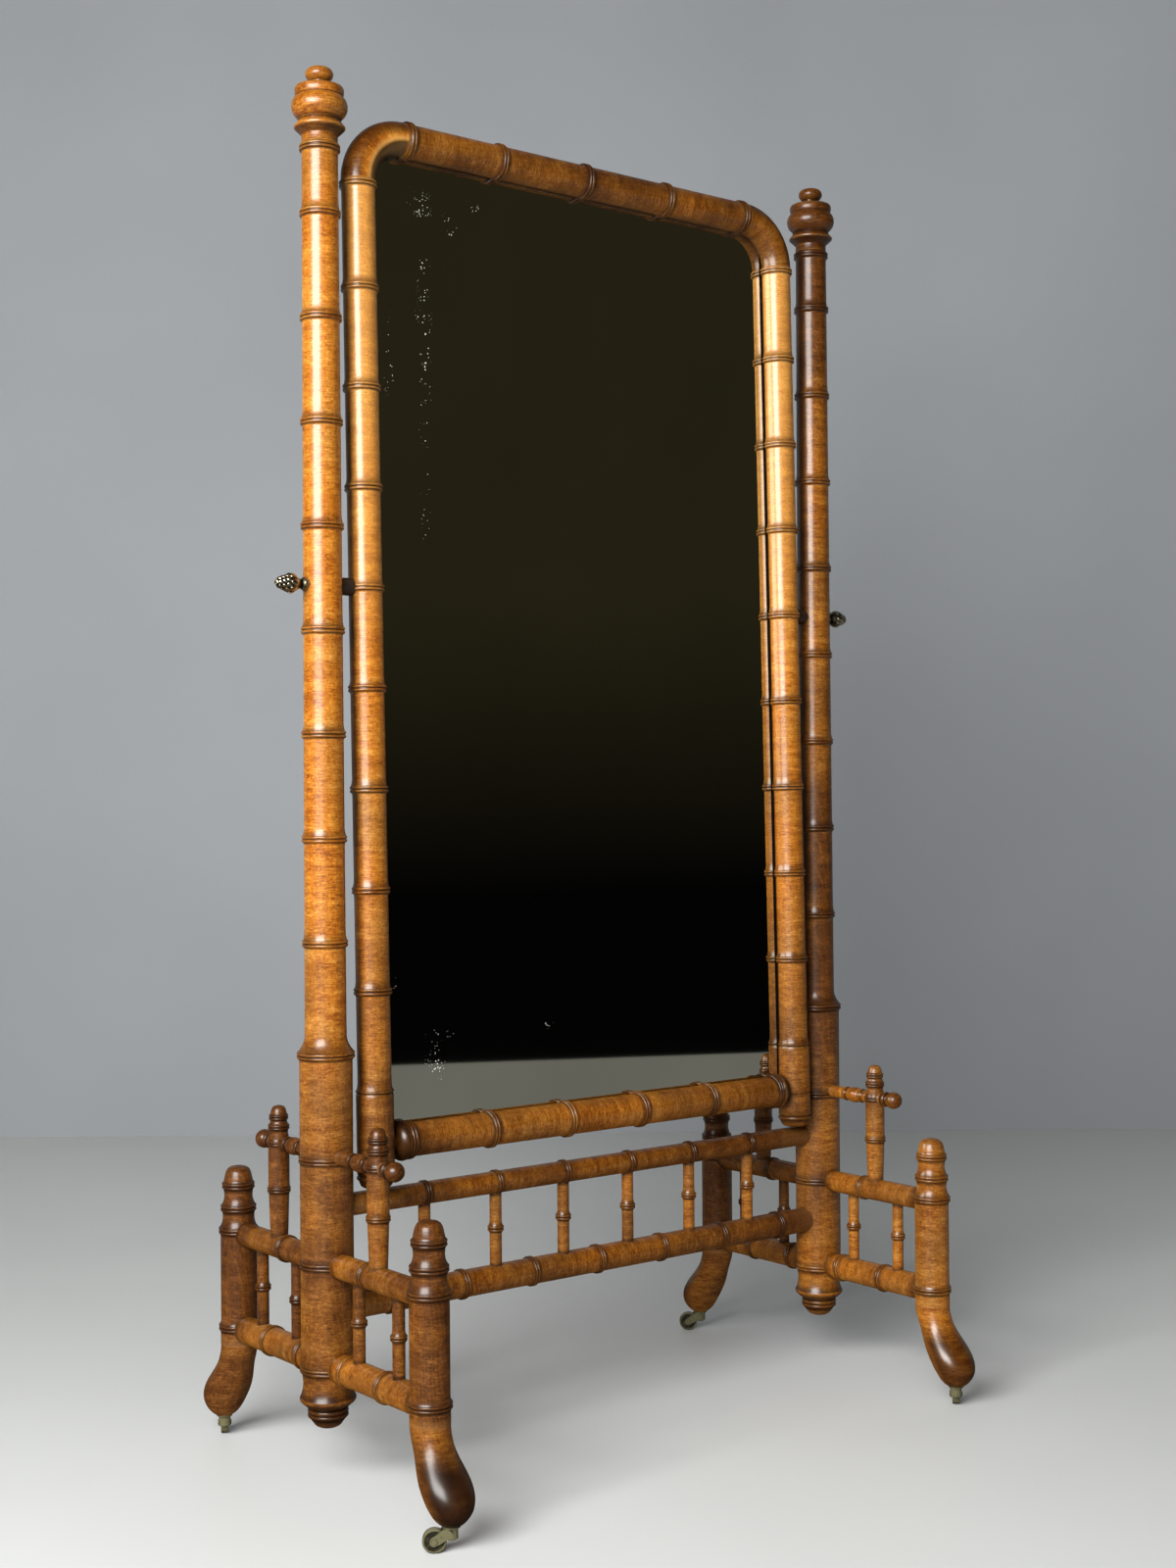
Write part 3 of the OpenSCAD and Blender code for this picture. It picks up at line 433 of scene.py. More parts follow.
@dataclass
class Lathe:
    """Turns outlines into one mesh and takes carved parts beside them."""

    name: str
    segments: int = 64
    bm: bmesh.types.BMesh = field(default_factory=bmesh.new)

    def turn(
        self,
        outline: Outline,
        place: Matrix,
        tone: float | Tones = 0.3,
        close: Pair | None = None,
    ) -> "Lathe":
        """Adds one turned solid.

        Args:
            outline: The outline, which starts and ends on the axis or is closed by a flat end.
            place: Where the lathe's frame goes, in metres.
            tone: How brown the wood is, or such tones at rising places along the axis; below 0 is paler,
                partly a painted sheen, and on some pieces the brown is partly painted shade.
            close: The way along x (1 or -1) in which a close neighbour stands, whose facing side gets dirt
                and painted shade, and the place along the axis from which it does.

        Returns:
            The lathe.
        """
        part = WoodPart()
        bm, stations = part.bm, list(outline.stations)
        for end in (0, -1):
            if stations[end][0] > 0.01:
                stations.insert(len(stations) if end else 0, (0.0, *stations[end][1:]))
        line = [bm.verts.new((radius * MM, 0, along * MM)) for radius, along, _ in stations]
        for vert, (_, _, deep) in zip(line, stations):
            vert[part.stain] = deep
        edges = [bm.edges.new(pair) for pair in zip(line, line[1:])]
        bmesh.ops.spin(
            bm, geom=line + edges, cent=(0, 0, 0), axis=(0, 0, 1), dvec=(0, 0, 0),
            angle=math.tau, steps=self.segments, use_merge=True, use_duplicate=False,
        )
        bmesh.ops.remove_doubles(bm, verts=bm.verts, dist=2e-6)
        shift = Vector((len(self.name) * 0.37, place.translation.x * 3.1, place.translation.y * 2.7))
        for vert in bm.verts:
            along, deep = vert.co.z / MM, vert[part.stain]
            # A side that faces a close neighbour gets dirt and painted shade, where the neighbour keeps the
            # light off it
            if close and along > close[1]:
                away = math.degrees(math.atan2(vert.co.x * close[0], -vert.co.y))
                deep = max(deep, tone_at(CLOSE_SIDE_DIRT_AND_SHADE, away))
            brown = tone_at(tone, along) if isinstance(tone, tuple) else tone
            part.mark(vert, deep, brown, vert.co + shift)
        return self.add(bm, place)

    def add(self, part: bmesh.types.BMesh, place: Matrix) -> "Lathe":
        """Puts a closed mesh in its place with its faces outward, joins it to this one and frees it.

        Args:
            part: The mesh.
            place: Where it goes, in metres.

        Returns:
            The lathe.
        """
        bmesh.ops.recalc_face_normals(part, faces=part.faces)
        bmesh.ops.transform(part, matrix=place, verts=part.verts)
        if place.determinant() < 0:
            bmesh.ops.reverse_faces(part, faces=part.faces)
        mesh = bpy.data.meshes.new("part")
        part.to_mesh(mesh)
        part.free()
        self.bm.from_mesh(mesh)
        bpy.data.meshes.remove(mesh)
        return self

    def finish(self, material: bpy.types.Material, crease_deg: float = 38.0) -> bpy.types.Object:
        """Makes the object.

        Args:
            material: The finish of every face.
            crease_deg: Edges that turn more than this stay sharp.

        Returns:
            The object, at the origin, with its place in its mesh.
        """
        limit = math.radians(crease_deg)
        for face in self.bm.faces:
            face.smooth = True
        for edge in self.bm.edges:
            edge.smooth = not edge.is_manifold or edge.calc_face_angle(0.0) < limit
        return new_object(self.bm, self.name, material)


def settle(piece: bpy.types.Object, body: str, node: str) -> None:
    """Puts a finished piece on its body in place of its CAD node, and reports it.

    Args:
        piece: The finished piece.
        body: The CAD body that it rides on.
        node: The CAD node that it stands for.
    """
    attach(piece, body)
    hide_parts(node)
    LOG.info("%s: %d faces on %s", piece.name, len(piece.data.polygons), body)


def dress(node: str, material: bpy.types.Material) -> None:
    """Gives a CAD node its finish, and reports it.

    Args:
        node: The node's name.
        material: The finish.
    """
    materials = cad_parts[node].data.materials
    materials.clear()
    materials.append(material)
    LOG.info("%s: %s", node, material.name)


@dataclass(frozen=True)
class Finish:
    """A finish of one of the pieces, built from its own colours and sizes."""

    name: str

    def build(self) -> bpy.types.Material:
        """Builds the material.

        Returns:
            The material.
        """
        material = bpy.data.materials.new(self.name)
        material.use_nodes = True
        material.node_tree.nodes.clear()
        add = partial(add_node, material.node_tree)
        add("OutputMaterial", {"Surface": self.surface(add)})
        return material

    def surface(self, add: Adder) -> Socket:
        """Adds the finish's own nodes and returns its shader."""
        raise NotImplementedError


@dataclass(frozen=True)
class Grain:
    """One scale of the wood's figure, and its weight in the wood's colour."""

    name: str
    across_mm: float
    along_mm: float
    detail: float
    rough: float
    weight: float = 0.0


@dataclass(frozen=True)
class FrenchPolishedMaple(Finish):
    """Curly maple under French polish: fine cross figure, brown glaze and painted shade in the turnings, a
    thin clear film.
    """

    name: str = "french_polished_maple"
    film: str = "#F2DDB8"
    honey: Ramp = ((0.41, "#7F4711"), (0.473, "#AA6A1E"), (0.527, "#C18533"), (0.59, "#DAA656"))
    brown: Ramp = ((0.38, "#281405"), (0.465, "#45260B"), (0.535, "#5A3512"), (0.62, "#7E5226"))
    scales: tuple[Grain, ...] = (
        Grain("ripple", 13.0, 1.7, 3.0, 0.6, 0.3),
        Grain("band", 60.0, 12.0, 2.0, 0.5, 0.2),
        Grain("streak", 4.5, 120.0, 3.0, 0.6, 0.06),
        Grain("mottle", 3.4, 3.4, 3.0, 0.65, 0.24),
        Grain("cloud", 1000 / 17, 1000 / 9, 3.0, 0.55, 0.2),
        Grain("fleck", 5.0, 1.1, 1.0, 0.5),
    )
    growth_mm: float = 5.0
    growth_axis: Triple = (0.72, 0.69, 0.07)
    speck_mm: float = 1000 / 85

    def growth_lines(self, add: Adder, grain: Socket, cloud: Socket) -> Socket:
        """Adds the faint lines of the wood's yearly growth.

        Args:
            add: Adds a node to the finish.
            grain: Place in the grain.
            cloud: The broad noise that bends the lines and thins them out.

        Returns:
            How strongly a line shows.
        """
        leaning = add("VectorMath", {"operation": "DOT_PRODUCT", 0: grain, 1: self.growth_axis}, 1)
        layers = add("CombineXYZ", {0: leaning})
        phase = add("Math", {"operation": "MULTIPLY", 0: cloud, 1: 26.0})
        scale = 0.314 / (self.growth_mm * MM)
        settings = {"Vector": layers, "Scale": scale, "Distortion": 0.0, "Phase Offset": phase}
        line = add("MapRange", {"span": (0.78, 1.0, 0.0, 0.12), 0: add("TexWave", settings, 1)})
        return add("Math", {"operation": "MULTIPLY", 0: line, 1: cloud})

    def glaze_and_shade(self, add: Adder, cloud: Socket, curve: Socket) -> Socket:
        """Adds the dark glaze: the piece's own stain, and grime and wax with painted shade in its corners and
        grooves.

        Args:
            add: Adds a node to the finish.
            cloud: The broad noise that makes the stain patchy.
            curve: How far the surface bulges.

        Returns:
            How dark the glaze and painted shade are.
        """
        stain = add("Attribute", {"attribute_name": "stain"}, "Fac")
        patchy = add("Math", {"operation": "MULTIPLY_ADD", 0: cloud, 1: 0.7, 2: 0.6})
        dark = add("Math", {"operation": "MULTIPLY", 0: stain, 1: patchy})
        # Painted shade: darker where neighbours crowd in and where the surface curves inward
        open_air = add("AmbientOcclusion", {"samples": 6, "Distance": 0.007}, 1)
        for source, span in ((open_air, (0.3, 0.85, 0.85, 0.0)), (curve, (0.4, 0.475, 0.9, 0.0))):
            held = add("MapRange", {"span": span, 0: source})
            dark = add("Math", {"operation": "MAXIMUM", 0: dark, 1: held})
        return add("Math", {"operation": "MULTIPLY", "use_clamp": True, 0: dark, 1: 0.94})

    def surface(self, add: Adder) -> Socket:
        """Builds the finish from the piece's own grain, stain and tone.

        Args:
            add: Adds a node to the finish.

        Returns:
            The shader.
        """
        grain = add("Attribute", {"attribute_name": "grain"}, "Vector")
        tone = add("Attribute", {"attribute_name": "tone"}, "Fac")
        figure: float | Socket = 0.0
        noise = {}
        for part in self.scales:
            stretch = (1000 / part.across_mm, 1000 / part.across_mm, 1000 / part.along_mm)
            place = add("VectorMath", {"operation": "MULTIPLY", 0: grain, 1: stretch})
            settings = {"Vector": place, "Scale": 1.0, "Detail": part.detail, "Roughness": part.rough}
            noise[part.name] = add("TexNoise", settings)
            share = {0: noise[part.name], 1: part.weight, 2: figure}
            figure = add("Math", {"operation": "MULTIPLY_ADD", **share})
        ripple, mottle, cloud = noise["ripple"], noise["mottle"], noise["cloud"]
        honey, brown = (add("ValToRGB", {"ramp": ramp, 0: figure}) for ramp in (self.honey, self.brown))
        uneven = add("Math", {"operation": "SUBTRACT", 0: cloud, 1: 0.5})
        # Honey turns to brown by tone; on some pieces the tone carries painted shade
        brown_and_shade = add("Math", {"operation": "MULTIPLY_ADD", "use_clamp": True, 0: uneven, 1: 1.7, 2: tone})
        wood = add("Mix", {"data_type": "RGBA", 0: brown_and_shade, 6: honey, 7: brown}, 2)
        # Tone below 0 mixes in a pale colour: paler wood and a painted sheen where the lamp's broad highlight
        # falls
        pale_and_sheen = add("Math", {"operation": "MULTIPLY", "use_clamp": True, 0: tone, 1: -1.0})
        dash = add("MapRange", {"span": (0.58, 0.7, 0.0, 0.5), 0: noise["fleck"]})
        dense = add("MapRange", {"span": (0.42, 0.6, 0.15, 1.0), 0: cloud})
        dashes = add("Math", {"operation": "MULTIPLY", 0: dash, 1: dense})
        cells = add("TexVoronoi", {"Vector": grain, "Scale": 1000 / self.speck_mm, "Randomness": 1.0})
        spotted = add("Math", {"operation": "LESS_THAN", 0: cells, 1: 0.07})
        spots = add("Math", {"operation": "MULTIPLY", 0: spotted, 1: 0.5})
        curve = add("NewGeometry", {}, "Pointiness")
        # Convex crests paler: wear, and a painted highlight on the rings' crests
        rubbed_and_sheen = add("MapRange", {"span": (0.535, 0.62, 0.0, 0.5), 0: curve})
        for share, colour in (
            (pale_and_sheen, "#DDB87A"),
            (self.growth_lines(add, grain, cloud), "#B97F3A"),
            (dashes, "#5B3310"),
            (self.glaze_and_shade(add, cloud, curve), "#1C0B04"),
            (spots, "#3A2110"),
            (rubbed_and_sheen, "#B98A55"),
        ):
            wood = add("Mix", {"data_type": "RGBA", 0: share, 6: wood, 7: colour}, 2)
        facing = add("LayerWeight", {"Blend": 0.5}, "Facing")
        edge = add("MapRange", {"span": (0.5, 0.92, 1.0, 0.05), 0: facing})
        waxed = add("MapRange", {"span": (0.1, 0.8, 0.95, 0.6), 0: tone})
        film = add("Math", {"operation": "MULTIPLY", 0: edge, 1: waxed})
        rough = add("Math", {"operation": "MULTIPLY", 0: ripple, 1: 0.6})
        fine = add("Math", {"operation": "MULTIPLY_ADD", 0: mottle, 1: 0.4, 2: rough})
        return add(
            "BsdfPrincipled",
            {
                "Base Color": wood,
                "Roughness": add("MapRange", {"span": (0.3, 0.7, 0.36, 0.5), 0: cloud}),
                "IOR": 1.45,
                "Specular IOR Level": add("Math", {"operation": "MULTIPLY", 0: film, 1: 0.35}),
                "Coat Weight": film,
                "Coat Roughness": 0.26,
                "Coat IOR": 1.5,
                "Coat Tint": self.film,
                "Normal": add("Bump", {"Strength": 0.35, "Distance": 0.0005, "Height": fine}),
            },
        )


@dataclass(frozen=True)
class AgedBrass(Finish):
    """Cast brass gone dull with age: olive brown film, bright only where hands rub it."""

    name: str = "aged_cast_brass"
    gap: str = "#0B0906"
    film: str = "#2B2719"
    middle: str = "#6C6550"
    metal: str = "#B8AF97"
    bare: float = 1.0

    def surface(self, add: Adder) -> Socket:
        """Builds the brass.

        Args:
            add: Adds a node to the finish.

        Returns:
            The shader.
        """
        place = add("TexCoord", {}, "Object")
        patch = add("TexNoise", {"Vector": place, "Scale": 160.0, "Detail": 4.0, "Roughness": 0.6})
        pits = add("TexNoise", {"Vector": place, "Scale": 900.0, "Detail": 2.0, "Roughness": 0.5})
        edge = add("NewGeometry", {}, "Pointiness")
        rub = add("MapRange", {"span": (0.49, 0.54, -0.12, 0.3), 0: edge})
        share = add("Math", {"operation": "ADD", 0: patch, 1: rub})
        ramp = ((0.34, self.film), (0.55, self.middle), (0.72, self.metal))
        colour = add("ValToRGB", {"ramp": ramp, 0: share})
        stain = add("Attribute", {"attribute_name": "stain"}, "Fac")
        open_air = add("AmbientOcclusion", {"samples": 6, "Distance": 0.006}, 1)
        grime = add("MapRange", {"span": (0.25, 0.8, 0.9, 0.0), 0: open_air})
        deep = add("Math", {"operation": "MAXIMUM", 0: stain, 1: grime})
        return add(
            "BsdfPrincipled",
            {
                "Base Color": add("Mix", {"data_type": "RGBA", 0: deep, 6: colour, 7: self.gap}, 2),
                "Metallic": self.bare,
                "Roughness": add("MapRange", {"span": (0.35, 0.7, 0.5, 0.27), 0: share}),
                "Normal": add("Bump", {"Strength": 0.3, "Distance": 0.0002, "Height": pits}),
            },
        )


@dataclass(frozen=True)
class Foxing:
    """A cluster of pale specks in the silvering: its middle, its half sizes and its strength."""

    x: float
    z: float
    half_x: float
    half_z: float
    strength: float


@dataclass(frozen=True)
class AgedSilvering(Finish):
    """Old mirror glass: dim silvering, a few clusters of pale foxing, and lost silver with painted shade at
    its edge.
    """

    name: str = "aged_mirror_silvering"
    tints: tuple[str, str] = ("#C0C1B9", "#CECFC8")
    speck_mm: float = 3.3
    edge_x_mm: float = 364.0
    clusters: tuple[Foxing, ...] = (
        Foxing(-281, 1560, 14, 110, 0.5),
        Foxing(-285, 1400, 10, 160, 0.4),
        Foxing(-283, 1745, 22, 26, 0.4),
        Foxing(-238, 1722, 18, 26, 0.42),
        Foxing(-276, 1668, 15, 24, 0.46),
        Foxing(-340, 1530, 16, 60, 0.4),
        Foxing(-185, 1764, 30, 8, 0.42),
        Foxing(-287, 555, 20, 34, 0.5),
        Foxing(-352, 668, 10, 12, 0.6),
        Foxing(-275, 594, 30, 8, 0.34),
        Foxing(-87, 593, 14, 7, 0.32),
    )

    def specks(self, add: Adder, place: Socket) -> Socket:
        """Adds the foxing: dots that grow larger and denser towards the middle of each cluster.

        Args:
            add: Adds a node to the finish.
            place: Place in the object.

        Returns:
            1 on a speck and 0 beside it.
        """
        amount: float | Socket = 0.0
        for spot in self.clusters:
            size = (1 / (spot.half_x * MM), 0.0, 1 / (spot.half_z * MM))
            middle = (-spot.x / spot.half_x, 0.0, -spot.z / spot.half_z)
            local = add("VectorMath", {"operation": "MULTIPLY_ADD", 0: place, 1: size, 2: middle})
            far = add("VectorMath", {"operation": "LENGTH", 0: local}, 1)
            share = add("MapRange", {"span": (0.2, 1.3, spot.strength, 0.0), 0: far})
            amount = add("Math", {"operation": "MAXIMUM", 0: amount, 1: share})
        area = add("TexNoise", {"Vector": place, "Scale": 45.0, "Detail": 4.0, "Roughness": 0.65})
        loose = add("MapRange", {"span": (0.4, 0.62, 0.1, 1.0), 0: area})
        reach = add("Math", {"operation": "MULTIPLY", 0: amount, 1: loose})
        cells = add("TexVoronoi", {"Vector": place, "Scale": 1000 / self.speck_mm, "Randomness": 1.0})
        dots = add("Math", {"operation": "LESS_THAN", 0: cells, 1: reach})
        picked = add("Math", {"operation": "GREATER_THAN", 0: cells.node.outputs[1], 1: 0.54})
        return add("Math", {"operation": "MULTIPLY", 0: dots, 1: picked})

    def surface(self, add: Adder) -> Socket:
        """Builds the silvering.

        Args:
            add: Adds a node to the finish.

        Returns:
            The shader.
        """
        place = add("TexCoord", {}, "Object")
        haze = add("TexNoise", {"Vector": place, "Scale": 3.0, "Detail": 3.0, "Roughness": 0.5})
        tint = add("ValToRGB", {"ramp": ((0.3, self.tints[0]), (0.7, self.tints[1])), 0: haze})
        silver = add("BsdfPrincipled", {"Base Color": tint, "Metallic": 1.0, "Roughness": 0.02})
        bare = add("BsdfPrincipled", {"Base Color": "#C9C6BB", "Roughness": 0.5})
        foxed = add("MixShader", {0: self.specks(add, place), 1: silver, 2: bare})
        # A dark strip along the glass's sides: lost silver and painted shade where the frame meets the glass
        across = add("Math", {"operation": "ABSOLUTE", 0: add("SeparateXYZ", {0: place})})
        lost_silver_and_shade = add("Math", {"operation": "GREATER_THAN", 0: across, 1: self.edge_x_mm * MM})
        dark = add("BsdfPrincipled", {"Base Color": "#0A0806", "Roughness": 0.5, "Specular IOR Level": 0.1})
        return add("MixShader", {0: lost_silver_and_shade, 1: foxed, 2: dark})


@dataclass(frozen=True)
class PlainFinish(Finish):
    """A plain solid finish with a little mottle, such as raw pine, blackened wood or dull iron."""

    dark: str
    light: str
    roughness: float
    metallic: float = 0.0
    scale: Triple = (60.0, 60.0, 60.0)
    bump_mm: float = 0.2

    def surface(self, add: Adder) -> Socket:
        """Builds the plain finish.

        Args:
            add: Adds a node to the finish.

        Returns:
            The shader.
        """
        place = add("TexCoord", {}, "Object")
        stretched = add("VectorMath", {"operation": "MULTIPLY", 0: place, 1: self.scale})
        mottle = add("TexNoise", {"Vector": stretched, "Scale": 1.0, "Detail": 5.0, "Roughness": 0.6})
        settings = {
            "Base Color": add("ValToRGB", {"ramp": ((0.32, self.dark), (0.68, self.light)), 0: mottle}),
            "Metallic": self.metallic,
            "Roughness": self.roughness,
            "Normal": add("Bump", {"Strength": 0.4, "Distance": self.bump_mm * MM, "Height": mottle}),
        }
        return add("BsdfPrincipled", settings)


class Finishes:
    """The finishes of the whole object, each built once."""

    def __init__(self) -> None:
        """Builds them all."""
        self.maple = FrenchPolishedMaple().build()
        self.brass = AgedBrass().build()
        self.dull_brass = AgedBrass(
            "dull_caster_brass", film="#242115", middle="#4C4933", metal="#7B7657", bare=0.4
        ).build()
        self.silvering = AgedSilvering().build()
        self.pine = PlainFinish(
            "raw_pine", "#7C5C38", "#B08C5C", 0.75, scale=(140.0, 140.0, 3.0), bump_mm=0.4
        ).build()
        self.ebonised = PlainFinish("ebonised_wood", "#1B130E", "#33251B", 0.42).build()
        self.iron = PlainFinish("dull_iron", "#2B2926", "#5A5650", 0.55, 1.0, (400.0, 400.0, 400.0)).build()


@dataclass
class Post:
    """One tall post with its finial."""

    side: Side
    low_r: float = 35.5
    mid_r: float = 28.0
    top_r: float = 24.2
    low_proud: float = 1.9
    high_proud: float = 3.3
    drop_tip_z: float = 84.0
    flange_r: float = 37.6
    neck_r: float = 24.2
    finial_flange_r: float = 34.4
    bulb_r: float = 37.7
    collar_r: float = 32.9
    button_r: float = 18.7
    close_z: float = 540.0
    left_finial_tone: float = 0.42
    right_finial_tone: float = 1.1
    left_tones: Tones = (
        (160, 0.85), (440, 0.78), (540, 0.52), (640, 0.3), (830, 0.16), (1285, 0.02), (1640, -0.05),
        (1790, 0.25),
    )
    # The right post's brown is partly painted shade, darkest low down where the mirror frame keeps the lamp
    # off it
    right_tones: Tones = (
        (230, 0.62), (430, 0.7), (540, 1.0), (820, 1.05), (940, 0.85), (1090, 0.6), (1210, 0.5), (1500, 0.7),
        (1640, 0.8), (1700, 1.0),
    )

    def shaft_r(self, z: float) -> float:
        """Returns the radius of the thin shaft at a height."""
        low = LAYOUT.step_ring_z
        return self.mid_r - (self.mid_r - self.top_r) * (z - low) / (LAYOUT.post_top_z - low)

    def post_outline(self) -> Outline:
        """Draws the post.

        Returns:
            The outline from the drop's tip to the joint with the finial.
        """
        tip, f, low = self.drop_tip_z, self.flange_r, self.low_r
        line = Outline().to(0, tip, 0.3).arc(0, tip + 9, 20, -66, -12, 0.5, 0.35)
        line.bead(27.2, tip + 17, 2.6, 1.8, 0.5).bead(27.2, tip + 23, 2.8, 1.8, 0.5)
        line.to(25.4, tip + 26.6, 1.0).to(29.4, tip + 29.6, 0.8).to(f - 1.8, tip + 35, 0.6)
        line.to(f - 0.5, tip + 36.6, 0.3).to(f, tip + 38, 0.15).to(f, tip + 40.4, 0.15)
        line.to(f - 1.1, tip + 42.2, 0.9).to(f - 2.6, tip + 46, 0.7)
        line.to(33.4, tip + 52, 0.1).to(32.8, tip + 61)
        line.ring(LAYOUT.low_ring_z, 33.6, low, low + self.low_proud, 9, 7)
        for i in (1, 2):
            line.ring(LAYOUT.low_ring_z + i * LAYOUT.low_pitch, low, low, low + self.low_proud, 9, 4)
        step = LAYOUT.step_ring_z
        line.ring(step, low, self.shaft_r(step + 22), low + self.high_proud, 22, 4)
        for i in range(LAYOUT.high_count):
            z = LAYOUT.first_high_z + i * LAYOUT.high_pitch
            line.ring(z, self.shaft_r(z - 8), self.shaft_r(z + 14), self.shaft_r(z) + self.high_proud)
        cap = LAYOUT.cap_ring_z
        return line.ring(cap, self.shaft_r(cap), self.neck_r + 0.6, self.top_r + self.high_proud, 2.2)

    def finial_outline(self) -> Outline:
        """Draws the finial above the post.

        Returns:
            The outline.
        """
        z = LAYOUT.post_top_z
        n, f, c = self.neck_r, self.finial_flange_r, self.collar_r
        line = Outline().to(n + 0.6, z, 0.8).to(n, z + 2, 0.2).to(n, z + 10, 0.35).to(n + 1.6, z + 12, 0.8)
        line.to(f - 2.6, z + 17.6, 0.9).to(f, z + 20, 0.1).to(f, z + 21.8, 0.0).to(32, z + 24.6, 0.15)
        line.to(29.5, z + 27.6, 0.7).to(28.2, z + 30.2, 1.0).to(29, z + 31.4, 0.6).to(28.6, z + 32.6, 1.0)
        line.arc(self.bulb_r - 17.6, z + 48.8, 17.6, -54, 44, 1.0, 0.12)
        line.to(c - 1.6, z + 62.2, 1.0).to(c - 0.6, z + 64, 0.2).to(c, z + 68, 0.05).to(c, z + 72, 0.15)
        line.to(c - 1.4, z + 74.8, 0.3).to(c - 4.4, z + 76, 0.5).to(12, z + 76.6, 0.8)
        line.to(10.8, z + 79, 0.9).to(11, z + 83, 0.6)
        line.arc(self.button_r - 9, z + 92.4, 9, -62, 84, 1.0, 0.15)
        return line.to(0, z + 101.7, 0.1)

    def build(self, finishes: Finishes) -> None:
        """Builds the post and its finial; the right one is browner, partly its stain and partly painted shade
        from the mirror frame.

        Args:
            finishes: The finishes.
        """
        word, wood = self.side.word, finishes.maple
        place = at(self.side.value * LAYOUT.post_x, 0, 0)
        tones, top = self.left_tones, self.left_finial_tone
        if self.side is Side.RIGHT:
            tones, top = self.right_tones, self.right_finial_tone
        post = Lathe("post_turning_" + word)
        post.turn(self.post_outline(), place, tones, (-self.side.value, self.close_z))
        settle(post.finish(wood), "stand", "post_" + word)
        finial = Lathe("finial_turning_" + word).turn(self.finial_outline(), place, top)
        settle(finial.finish(wood), "stand", "finial_" + word)


